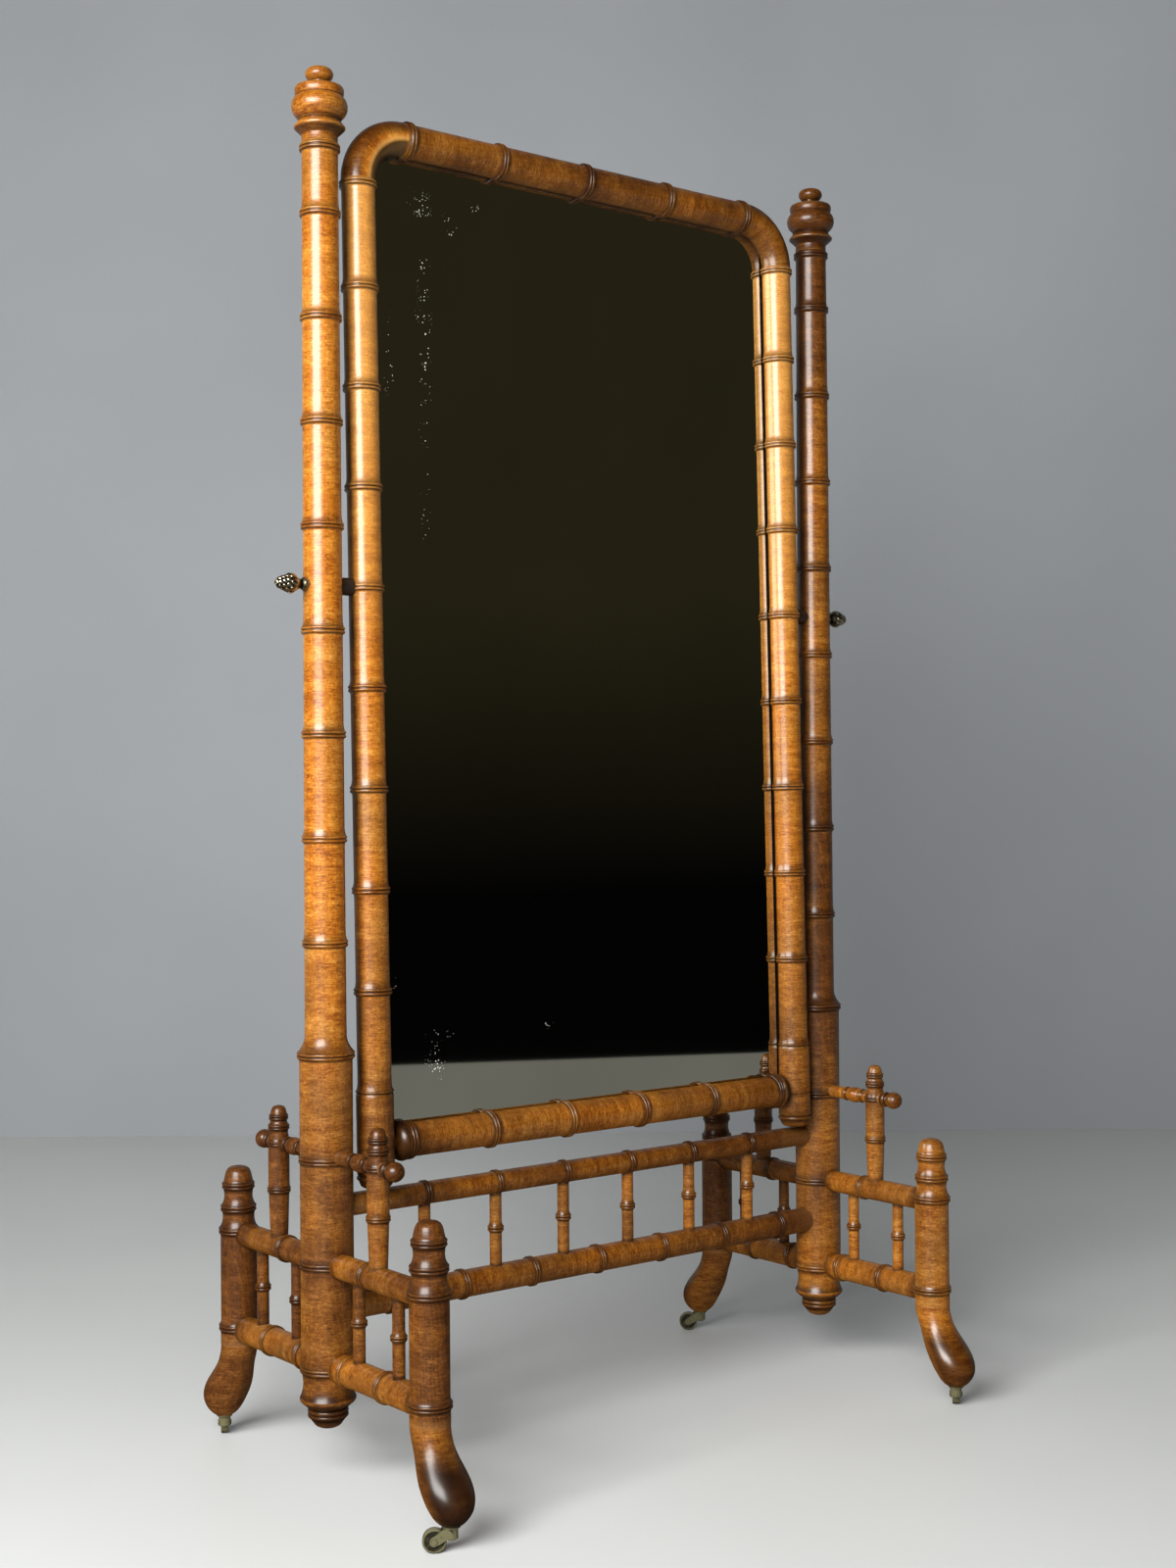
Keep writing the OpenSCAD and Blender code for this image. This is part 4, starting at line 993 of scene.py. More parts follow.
@dataclass
class SideFrame:
    """One quarter of the stand: leg, foot, side rails, spindles, upright, arm and knob."""

    side: Side
    end: End
    leg_r: float = 25.5
    foot_top_r: float = 26.0
    foot_neck_r: float = 25.7
    foot_bulb_r: float = 33.0
    foot_bulb_z: float = 76.0
    foot_kick: float = 45.5
    foot_steps: int = 40
    high_rail_r: float = 16.5
    high_rail_rings: tuple[float, ...] = (105.0,)
    low_rail_r: float = 19.0
    low_rail_rings: tuple[float, ...] = (56.0, 146.0)
    upright_y: float = 127.5
    upright_r: float = 14.6
    upright_foot_r: float = 12.2
    arm_r: float = 9.5
    arm_end_y: float = 143.0
    knob_r: float = 13.0
    spindle_r: float = 8.3
    spindle_y: Pair = (79.5, 174.0)

    @property
    def corner(self) -> str:
        """The corner's part of a node's name."""
        return self.end.word + "_" + self.side.word

    def place(self, y: float, z: float, axis: Axis = Axis.UP) -> Matrix:
        """Returns a place drawn towards the back, mirrored to this corner's end."""
        return Matrix.Scale(self.end.value, 4, (0, 1, 0)) @ at(self.side.value * LAYOUT.post_x, y, z, axis)

    def tone(self) -> float:
        """Returns how brown this corner's wood is; the front right one is worn to gold, and the back ones are
        browner partly as painted shade.
        """
        return {"front_left": 1.0, "front_right": 0.5, "back_left": 1.2, "back_right": 1.15}[self.corner]

    def foot_stain(self) -> float:
        """Returns how dark the bulb of this corner's foot is: handling grime, and on the front right one
        painted shade as well.
        """
        return {"front_left": 1.0, "front_right": 1.0, "back_left": 0.35, "back_right": 0.8}[self.corner]

    def leg_outline(self) -> Outline:
        """Draws the leg.

        Returns:
            The outline from the foot to the acorn cap.
        """
        bead = LAYOUT.high_rail_z + 4
        top = bead + 63.6 + 27.6
        line = Outline().to(self.foot_top_r, LAYOUT.leg_foot_z, 0.05)
        line.ring(LAYOUT.low_rail_z + 1.5, self.foot_top_r, self.leg_r, self.leg_r + 3.1, 6, 4)
        line.ring(bead, self.leg_r, 22.2, self.leg_r + 2.6, 14, 4)
        line.ring(bead + 31.8, 22.4, 19.9, 25.3, 13, 6)
        line.ring(bead + 63.6, 20.2, 20, 23.2, 4.5, 6)
        line.to(19.3, top - 15.4, 0.1).to(18.4, top - 11.4, 0.1).to(17.2, top - 7.4, 0.1)
        line.to(15, top - 3.9, 0.15).to(11.4, top - 1.6, 0.2).to(6, top - 0.3, 0.2)
        return line.to(0, top, 0.2)

    def foot_shift(self, z: float) -> float:
        """Returns how far the foot's middle has moved outward at a height."""
        t = min(1.0, (LAYOUT.leg_foot_z - z) / (LAYOUT.leg_foot_z - LAYOUT.foot_under_z) / 0.9)
        return self.foot_kick * t * t * (3 - 2 * t)

    def foot_radius(self, z: float) -> float:
        """Gives the foot's radius.

        Args:
            z: The height.

        Returns:
            The radius there.
        """
        if z < self.foot_bulb_z:
            drop = (self.foot_bulb_z - z) / (self.foot_bulb_z - LAYOUT.foot_under_z + 3)
            return self.foot_bulb_r * math.sqrt(1 - drop * drop)
        t = min(1.0, (z - self.foot_bulb_z) / 48)
        return self.foot_bulb_r - (self.foot_bulb_r - self.foot_neck_r) * (1 - math.cos(math.pi * t)) / 2

    def foot(self) -> Lathe:
        """Draws the bent club foot as a round section pulled down and outward.

        Returns:
            The lathe that holds the foot.
        """
        part = WoodPart()
        bm, top, low = part.bm, LAYOUT.leg_foot_z, LAYOUT.foot_under_z
        made = bmesh.ops.create_circle(bm, cap_ends=True, segments=64, radius=self.foot_top_r * MM)
        bmesh.ops.translate(bm, verts=made["verts"], vec=(0, 0, top * MM))
        rim = [e for e in bm.edges if all(v in made["verts"] for v in e.verts)]
        z, radius, shift = top, self.foot_top_r, 0.0
        for i in range(1, self.foot_steps + 1):
            u = i / self.foot_steps
            next_z = top - (top - low) * (0.5 * u + 0.5 * math.sin(math.pi * u / 2))
            next_r, next_shift = self.foot_radius(next_z), self.foot_shift(next_z)
            grown = bmesh.ops.extrude_edge_only(bm, edges=rim)["geom"]
            ring = [g for g in grown if isinstance(g, bmesh.types.BMVert)]
            rim = [g for g in grown if isinstance(g, bmesh.types.BMEdge) and all(v in ring for v in g.verts)]
            centre = Vector((0, shift, z)) * MM
            scale = next_r / radius
            bmesh.ops.scale(bm, verts=ring, vec=(scale, scale, 1), space=Matrix.Translation(-centre))
            bmesh.ops.translate(bm, verts=ring, vec=(0, (next_shift - shift) * MM, (next_z - z) * MM))
            z, radius, shift = next_z, next_r, next_shift
        bmesh.ops.contextual_create(bm, geom=rim)
        # The front right foot's dark patch wraps further round, partly painted shade
        wrap = 0.9 if self.corner == "front_right" else 0.45
        corner_shift = Vector((2.1 * self.side.value, 1.7 * self.end.value, 0.4))
        for vert in bm.verts:
            height = vert.co.z / MM
            drift = self.foot_shift(height) * MM
            front = min(1.0, max(0.0, wrap + 1.1 * (vert.co.y - drift) / (self.foot_radius(height) * MM)))
            stain = self.foot_stain() * front * min(1.0, max(0.0, (top - 15 - height) / 34))
            grain = vert.co - Vector((0, drift, 0)) + corner_shift
            part.mark(vert, stain, min(0.75, self.tone() - 0.25), grain)
        return Lathe("foot_carving_" + self.corner).add(bm, self.place(LAYOUT.leg_reach, 0))

    def rail_outline(self, radius: float, rings: tuple[float, ...]) -> Outline:
        """Draws a side rail.

        Args:
            radius: Its radius.
            rings: Places of its rings.

        Returns:
            The outline.
        """
        line = Outline().to(radius, 14, 0.8).to(radius, 36, 0.7).to(radius, 47)
        for y in rings:
            line.ring(y, radius, radius, radius + 2.4, 7, 4, 1.8)
        leg_face = LAYOUT.leg_reach - self.leg_r
        line.to(radius, leg_face - 10).to(radius, leg_face + 1, 0.7)
        return line.to(radius, LAYOUT.leg_reach - 8, 0.8)

    def upright_outline(self) -> Outline:
        """Draws the upright.

        Returns:
            The outline, from its foot in the rail to its acorn cap.
        """
        top, r, foot = LAYOUT.arm_z + 51, self.upright_r, self.upright_foot_r
        line = Outline().to(foot, LAYOUT.high_rail_z + 6, 0.6)
        line.to(foot, LAYOUT.high_rail_z + self.high_rail_r, 0.6)
        line.to(foot + 0.3, LAYOUT.high_rail_z + self.high_rail_r + 6, 0.05)
        line.ring(LAYOUT.arm_z - 65, r - 0.6, r, r + 1.7, 6, 4, 1.6, 1.2)
        line.ring(LAYOUT.arm_z - 0.5, r, r - 0.6, r + 1.5, 4, 4, 1.6, 1.2)
        line.ring(top - 29.5, 12.6, 11.4, 14.9, 6, 4, 1.6, 1.2)
        line.ring(top - 15.8, 11.4, 11, 13.4, 2.6, 3, 1.6, 1.2)
        line.to(10.3, top - 7, 0.1).to(9.2, top - 3.6, 0.15).to(7.2, top - 1.3, 0.2)
        return line.to(3.8, top - 0.2, 0.2).to(0, top, 0.2)

    def arm_outline(self) -> Outline:
        """Draws the arm.

        Returns:
            The outline, with a collar, an olive and a ring between post and upright.
        """
        r = self.arm_r
        line = Outline().to(r, 14, 0.3).to(r, 62, 0.1).to(r - 0.2, 65, 0.9).bead(r + 1.4, 68, 2.2, 1.2, 0.3)
        line.to(r - 0.3, 71.5, 1.0).arc(r - 6.5, 84.5, 9.1, -47, 47, 1.65, 0.12).to(r - 0.7, 97, 1.0)
        line.bead(r + 1.4, 101, 2, 1.2, 0.3).to(r - 0.2, 104.5, 0.8).to(r, 108, 0.2)
        return line.to(r, self.arm_end_y, 0.5)

    def knob_outline(self) -> Outline:
        """Draws the knob.

        Returns:
            The outline: a small bead, a neck and a ball.
        """
        y = self.arm_end_y
        line = Outline().to(self.arm_r, y, 0.9).to(self.arm_r, y + 4.4, 0.95)
        line.bead(self.arm_r + 2.1, y + 8.6, 3.2, 1.9, 0.3).to(self.arm_r - 0.7, y + 12.6, 1.0)
        return line.arc(0, y + 24, self.knob_r, -48, 70, 1.0, 0.25).to(0, y + 24.6 + self.knob_r, 0.25)

    def turned(
        self, part: str, outline: Outline, place: Matrix, tone: float | Tones, segments: int = 64
    ) -> Lathe:
        """Returns a lathe, named for the part and this corner, that holds one turned solid."""
        return Lathe(f"{part}_turning_{self.corner}", segments).turn(outline, place, tone)

    def build(self, finishes: Finishes, spindles: Lathe, knobs: Lathe) -> None:
        """Builds this corner's own pieces and adds its spindles and knob to the shared ones.

        Args:
            finishes: The finishes.
            spindles: The lathe that holds all side spindles.
            knobs: The lathe that holds all knobs.
        """
        tone = self.tone() - 0.15
        rails = max(0.6, tone - 0.12)
        low_z, high_z, arm_z = LAYOUT.low_rail_z, LAYOUT.high_rail_z, LAYOUT.arm_z
        leg_tones = ((LAYOUT.leg_foot_z, tone - 0.1), (low_z, tone), (low_z + 40, tone + 0.15))
        upright_tones = ((arm_z - 50, max(0.45, tone - 0.2)), (arm_z, max(0.7, tone + 0.25)))
        leg_place, upright_place = self.place(LAYOUT.leg_reach, 0), self.place(self.upright_y, 0)
        high_place, low_place, arm_place = (self.place(0, z, Axis.BACK) for z in (high_z, low_z, arm_z))
        high_rail = self.rail_outline(self.high_rail_r, self.high_rail_rings)
        low_rail = self.rail_outline(self.low_rail_r, self.low_rail_rings)
        upright = self.upright_outline()
        lathes = {
            "leg": self.turned("leg", self.leg_outline(), leg_place, leg_tones),
            "foot": self.foot(),
            "upper_rail": self.turned("upper_rail", high_rail, high_place, rails),
            "lower_rail": self.turned("lower_rail", low_rail, low_place, max(0.52, rails - 0.22)),
            "upright": self.turned("upright", upright, upright_place, upright_tones, 48),
            "arm": self.turned("arm", self.arm_outline(), arm_place, tone + 0.15, 40),
        }
        for part, lathe in lathes.items():
            settle(lathe.finish(finishes.maple), "stand", f"{part}_{self.corner}")
        knobs.turn(self.knob_outline(), arm_place, max(0.9, tone + 0.35))
        start, stop = low_z + self.low_rail_r - 9, high_z - self.high_rail_r + 9
        for y in self.spindle_y:
            spindles.turn(Outline().spindle(self.spindle_r, start, stop, 2.9), self.place(y, 0), tone)


@dataclass
class Gallery:
    """The two stretchers between the posts and the spindles between them."""

    high_r: float = 15.5
    low_r: float = 19.0
    spindle_r: float = 8.6
    half: float = 444.0
    count: int = 6
    high_tones: Tones = ((-300, 0.8), (200, 0.95), (400, 1.15))
    low_tones: Tones = ((-300, 0.75), (200, 0.85), (400, 1.1))

    def stretcher(self, radius: float, rings: list[float], proud: float) -> Outline:
        """Draws a stretcher.

        Args:
            radius: Its radius.
            rings: Places of its rings.
            proud: How far they stand out.

        Returns:
            The outline.
        """
        line = Outline().to(radius, -self.half, 0.3)
        for x in rings:
            line.ring(x, radius, radius, radius + proud, 6, 4, 1.8)
        return line.to(radius, self.half, 0.3)

    def build(self, finishes: Finishes) -> None:
        """Builds the stretchers and the gallery's spindles.

        Args:
            finishes: The finishes.
        """
        low_z, high_z, pitch = LAYOUT.low_stretcher_z, LAYOUT.high_stretcher_z, LAYOUT.gallery_pitch
        spindle_x = [(i - (self.count - 1) / 2) * pitch for i in range(self.count)]
        between = [(i - self.count / 2) * pitch for i in range(self.count + 1)]
        for level, outline, z, tones in (
            ("upper", self.stretcher(self.high_r, spindle_x, 2.2), high_z, self.high_tones),
            ("lower", self.stretcher(self.low_r, between, 2.5), low_z, self.low_tones),
        ):
            lathe = Lathe(level + "_stretcher_turning").turn(outline, at(0, 0, z, Axis.ACROSS), tones)
            settle(lathe.finish(finishes.maple), "stand", "stretcher_" + level)
        spindles = Lathe("gallery_spindle_turnings", 40)
        line = Outline().spindle(self.spindle_r, low_z + self.low_r - 9, high_z - self.high_r + 9, 3.1)
        for x in spindle_x:
            spindles.turn(line, at(x, 0, 0), 0.6)
        settle(spindles.finish(finishes.maple), "stand", "gallery_spindles")


@dataclass
class Glazing:
    """The glass, the backboard and its screws."""

    glass_y: float = 10.0
    glass_t: float = 5.0
    glass_edge: float = 12.0
    rebate_edge: float = 2.5
    rebate_back: float = 40.0
    board_y: float = 15.3
    board_t: float = 5.5
    board_edge: float = 2.9
    boards: int = 5
    seam_half: float = 0.25
    seam_bevel: float = 1.2
    shank_r: float = 1.8
    head_r: float = 3.6
    screw_len: float = 15.0

    def slab(self, part: bmesh.types.BMesh, line: list[Pair], low: float, high: float) -> None:
        """Adds an upright slab.

        Args:
            part: The mesh that takes it.
            line: Its outline, across and up.
            low: Its front face.
            high: Its back face.
        """
        face = part.faces.new([part.verts.new((x * MM, low * MM, z * MM)) for x, z in line])
        grown = bmesh.ops.extrude_face_region(part, geom=[face])["geom"]
        far = [g for g in grown if isinstance(g, bmesh.types.BMVert)]
        bmesh.ops.translate(part, verts=far, vec=(0, (high - low) * MM, 0))

    def board_line(self, x0: float, x1: float) -> list[Pair]:
        """Draws one upright board whose top follows the rounded outline.

        Args:
            x0: Its left side.
            x1: Its right side.

        Returns:
            The board's outline, across and up.
        """
        base, bend = LAYOUT.bottom_rail_z + self.board_edge, LAYOUT.elbow_r - self.board_edge
        line = [(x0, base), (x1, base)]
        for i in range(24, -1, -1):
            x = x0 + (x1 - x0) * i / 24
            over = max(0.0, abs(x) - LAYOUT.rail_half)
            line.append((x, LAYOUT.stile_top_z + math.sqrt(max(0.0, bend**2 - over**2))))
        return line

    def cutter(self, edge: float, low: float, high: float) -> bpy.types.Object:
        """Makes a leaning plate of the glazing's outline, to cut its rebate with.

        Args:
            edge: Distance of the outline from the frame's axis line.
            low: Front face.
            high: Back face.

        Returns:
            The object.
        """
        part = bmesh.new()
        half, base, bend = LAYOUT.stile_x - edge, LAYOUT.bottom_rail_z + edge, LAYOUT.elbow_r - edge
        line = [(-half, base), (half, base)]
        for middle, first in ((LAYOUT.rail_half, 0.0), (-LAYOUT.rail_half, 90.0)):
            for i in range(17):
                a = math.radians(first + 90 * i / 16)
                line.append((middle + bend * math.cos(a), LAYOUT.stile_top_z + bend * math.sin(a)))
        self.slab(part, line, low, high)
        bmesh.ops.recalc_face_normals(part, faces=part.faces)
        bmesh.ops.transform(part, matrix=LAYOUT.lean(), verts=part.verts)
        return new_object(part, "rebate_cutter")

    def cut_rebate(self, piece: bpy.types.Object) -> None:
        """Cuts the rebate for glass and board out of a piece of the frame.

        Args:
            piece: The piece, which is leaning.
        """
        seat = self.glass_y + self.glass_t
        for_glass = (self.glass_edge, self.glass_y, seat + 1)
        for_board = (self.rebate_edge, seat, self.rebate_back)
        for limits in (for_glass, for_board):
            cutter = self.cutter(*limits)
            modifier = piece.modifiers.new("rebate", "BOOLEAN")
            modifier.operation, modifier.solver, modifier.object = "DIFFERENCE", "EXACT", cutter
            graph = bpy.context.evaluated_depsgraph_get()
            cut = bpy.data.meshes.new_from_object(piece.evaluated_get(graph))
            old = piece.data
            piece.modifiers.clear()
            piece.data = cut
            bpy.data.meshes.remove(old)
            bpy.data.objects.remove(cutter)
        piece.data.name = piece.name

    def screw_places(self) -> list[Pair]:
        """Places the backboard's screws.

        Returns:
            Where each stands, across and up.
        """
        line = (self.glass_edge + self.rebate_edge) / 2
        low, high = LAYOUT.stile_step_z + 27.6, LAYOUT.stile_cap_z - 11.5
        side, rails = LAYOUT.stile_x - line, (LAYOUT.top_rail_z - line, LAYOUT.bottom_rail_z + line)
        places = [(x, low + i * (high - low) / 3) for x in (-side, side) for i in range(4)]
        return places + [(i * 0.8 * LAYOUT.rail_half, z) for z in rails for i in (-1, 0, 1)]

    def screws(self, finishes: Finishes) -> None:
        """Builds the slotted heads and shanks of the backboard's screws.

        Args:
            finishes: The finishes.
        """
        part = bmesh.new()
        back = self.board_y + self.board_t
        slot = Matrix.Diagonal((5.4 * MM, 0.3 * MM, 0.9 * MM, 1.0))
        for x, z in self.screw_places():
            for radius, taper, low, high in (
                (self.shank_r, 1.0, back - self.screw_len, back + 0.2),
                (self.head_r, 0.8, back, back + 1.5),
            ):
                made = bmesh.ops.create_cone(
                    part, cap_ends=True, segments=24, radius1=radius * MM, radius2=radius * MM * taper,
                    depth=(high - low) * MM,
                )
                bmesh.ops.transform(part, matrix=at(x, (low + high) / 2, z, Axis.BACK), verts=made["verts"])
            made = bmesh.ops.create_cube(part, size=1.0)
            turn = Matrix.Rotation(math.radians(37 * (x + z) % 180), 4, "Y")
            bmesh.ops.transform(part, matrix=at(x, back + 1.55, z) @ turn @ slot, verts=made["verts"])
        lathe = Lathe("backboard_screw_set").add(part, LAYOUT.lean())
        settle(lathe.finish(finishes.iron), "mirror", "backboard_screws")

    def build(self, finishes: Finishes) -> None:
        """Builds the backboard's boards and screws and silvers the glass.

        Args:
            finishes: The finishes.
        """
        part = bmesh.new()
        half = LAYOUT.stile_x - self.board_edge
        width = 2 * half / self.boards
        for i in range(self.boards):
            x0 = -half + i * width + (self.seam_half if i else 0)
            x1 = -half + (i + 1) * width - (self.seam_half if i < self.boards - 1 else 0)
            self.slab(part, self.board_line(x0, x1), self.board_y, self.board_y + self.board_t)
        bmesh.ops.recalc_face_normals(part, faces=part.faces)
        plumb = [e for e in part.edges if abs(e.verts[0].co.x - e.verts[1].co.x) < 1e-6]
        upright = [e for e in plumb if e.calc_length() > 0.5]
        bmesh.ops.bevel(
            part, geom=upright, offset=self.seam_bevel * MM, offset_type="OFFSET", segments=2, profile=0.5,
            affect="EDGES", material=-1,
        )
        planks = Lathe("backboard_planks").add(part, LAYOUT.lean())
        settle(planks.finish(finishes.pine), "mirror", "backboard")
        self.screws(finishes)
        dress("mirror_glass", finishes.silvering)


@dataclass
class MirrorFrame:
    """The ringed frame of the mirror, with its lean."""

    glazing: Glazing
    stile_r: float = 23.0
    stile_low_r: float = 25.5
    proud: float = 3.2
    rail_r: float = 23.3
    bottom_r: float = 23.4
    bottom_pitch: float = 136.6
    close_z: float = 400.0
    # Tone by height: paler towards the top, partly a painted sheen where the tone goes below 0
    tones: Tones = (
        (420, 0.85), (540, 0.65), (700, 0.45), (950, 0.2), (1200, -0.15), (1500, -0.35), (1760, -0.35),
    )
    bottom_tones: Tones = ((-350, 1.0), (-290, 0.65), (-100, 0.55), (100, 0.6), (290, 0.7), (350, 1.0))
    # The left elbow's inner bend is near-black, stain and painted shade, and the pale band beside it is a
    # painted highlight
    left_elbow_stain: Tones = (
        (-0.45, 1.0), (-0.33, 0.95), (-0.28, 0.1), (-0.2, 0.0), (0.0, 0.05), (0.2, 0.4), (0.5, 0.8),
        (1.0, 0.97),
    )
    left_elbow_tone: Tones = ((-0.2, -0.6), (0.0, -0.15), (0.3, 0.4))
    right_elbow_stain: Tones = ((-1.0, 0.35), (-0.3, 0.2), (0.2, 0.35), (0.6, 0.75), (1.0, 0.97))
    right_elbow_tone: Tones = ((0.0, 0.7),)

    def stile_outline(self) -> Outline:
        """Draws a stile.

        Returns:
            The outline, from its rounded foot to the ring under the elbow.
        """
        end, step, r, low_r = LAYOUT.stile_end_z, LAYOUT.stile_step_z, self.stile_r, self.stile_low_r
        line = Outline().to(0, end, 0.4).arc(9, end + 7.4, 13, -72, -12, 0.56, 0.4)
        line.bead(low_r + 0.9, end + 15, 3, 2.4, 0.4).to(low_r, end + 20, 0.3).to(low_r, end + 30)
        groove = LAYOUT.bottom_rail_z - 5.2
        line.to(low_r, groove - 6).to(low_r, groove - 0.8, 0.3).to(low_r - 0.8, groove, 1.0)
        line.to(low_r, groove + 0.8, 0.3).to(low_r, groove + 6).to(low_r, step - 8).to(low_r, step - 3, 0.3)
        line.to(low_r - 0.6, step - 1.4, 0.6).to(low_r - 1.4, step, 1.0)
        line.bead(low_r + 0.5, step + 2.2, 1.9, 1.5, 0.4).cove(low_r - 1, r, step + 4.1, 12)
        for i in range(1, LAYOUT.stile_rings):
            line.ring(step + i * LAYOUT.stile_pitch, r, r, r + self.proud)
        return line.ring(LAYOUT.stile_cap_z, r, r + 0.6, r + self.proud, 1.2)

    def top_outline(self) -> Outline:
        """Draws the top rail.

        Returns:
            The outline.
        """
        half, r = LAYOUT.rail_half, self.rail_r
        last, peak = half - 9, self.rail_r + self.proud
        line = Outline().to(self.stile_r + 0.5, -half, 0.4).ring(-last, r, r, peak, 8, 4)
        for i in (-1, 0, 1):
            line.ring(i * last / 2, r, r, peak, 8, 7)
        return line.ring(last, r, r, peak, 4, 8).to(self.stile_r + 0.5, half, 0.4)

    def bottom_outline(self) -> Outline:
        """Draws the bottom rail.

        Returns:
            The outline, with a domed and waisted end at both stiles.
        """
        r, dome = self.bottom_r, 2.5 * self.bottom_pitch + 4.5
        face = LAYOUT.stile_x - self.stile_low_r
        neck, size = face - 1.2, r + 4 - 12
        end = Outline().to(r + 1.4, dome + 0.4, 0.9).to(r + 3.6, dome + 3.2, 0.4)
        end.arc(12, dome + 4.6, size, 6, 84, (neck - dome - 4.6) / size, 1.0)
        end.to(12, neck + 0.2, 0.9).to(12, face + 13, 0.9)
        line = end.flipped()
        line.ring(-2.5 * self.bottom_pitch, r + 1.2, r, r + self.proud, 7, 0.3)
        for i in (-1.5, -0.5, 0.5, 1.5):
            line.ring(i * self.bottom_pitch, r, r, r + self.proud, 7, 7)
        line.ring(2.5 * self.bottom_pitch, r, r + 1.2, r + self.proud, 0.3, 7)
        line.stations.extend(end.stations)
        return line

    def elbow(self, side: Side) -> Lathe:
        """Draws one quarter-round elbow.

        Args:
            side: The side of the mirror.

        Returns:
            The lathe that holds it.
        """
        part, bend = WoodPart(), LAYOUT.elbow_r * MM
        bm = part.bm
        made = bmesh.ops.create_circle(bm, cap_ends=False, segments=64, radius=(self.stile_r + 0.5) * MM)
        bmesh.ops.translate(bm, verts=made["verts"], vec=(bend, 0, 0))
        bmesh.ops.spin(
            bm, geom=bm.verts[:] + bm.edges[:], cent=(0, 0, 0), axis=(0, -1, 0), dvec=(0, 0, 0),
            angle=math.pi / 2, steps=32, use_merge=False, use_duplicate=False,
        )
        bmesh.ops.edgeloop_fill(bm, edges=[e for e in bm.edges if e.is_boundary])
        stains, tones = self.left_elbow_stain, self.left_elbow_tone
        if side is Side.RIGHT:
            stains, tones = self.right_elbow_stain, self.right_elbow_tone
        for vert in bm.verts:
            turn = math.atan2(vert.co.z, vert.co.x)
            reach = math.hypot(vert.co.z, vert.co.x) - bend
            across = reach / (self.stile_r * MM)
            grain = Vector((reach, vert.co.y, turn * bend)) + Vector((3.1 * side.value, 0.7, 0.2))
            part.mark(vert, tone_at(stains, across), tone_at(tones, across), grain)
        place = LAYOUT.lean() @ side.mirrored() @ at(LAYOUT.rail_half, 0, LAYOUT.stile_top_z)
        return Lathe("elbow_carving_" + side.word).add(bm, place)

    def build(self, finishes: Finishes) -> None:
        """Builds stiles, elbows and rails, each with its rebate.

        Args:
            finishes: The finishes.
        """
        lean = LAYOUT.lean()
        lathes = {}
        for side in Side:
            place, close = lean @ at(side.value * LAYOUT.stile_x, 0, 0), (side.value, self.close_z)
            stile = Lathe("stile_turning_" + side.word)
            lathes["stile_" + side.word] = stile.turn(self.stile_outline(), place, self.tones, close)
            lathes["elbow_" + side.word] = self.elbow(side)
        for node, line, z, tone in (
            ("top_rail", self.top_outline(), LAYOUT.top_rail_z, 0.8),
            ("bottom_rail", self.bottom_outline(), LAYOUT.bottom_rail_z, self.bottom_tones),
        ):
            lathes[node] = Lathe(node + "_turning").turn(line, lean @ at(0, 0, z, Axis.ACROSS), tone)
        for node, lathe in lathes.items():
            piece = lathe.finish(finishes.maple)
            self.glazing.cut_rebate(piece)
            settle(piece, "mirror", node)


@dataclass(frozen=True)
class ScaleRow:
    """One row of scales round a pine cone, in millimetres and degrees."""

    count: int
    sunk: float
    along: float
    half: float
    width: float
    rise: float
    skew: float
    slope: float


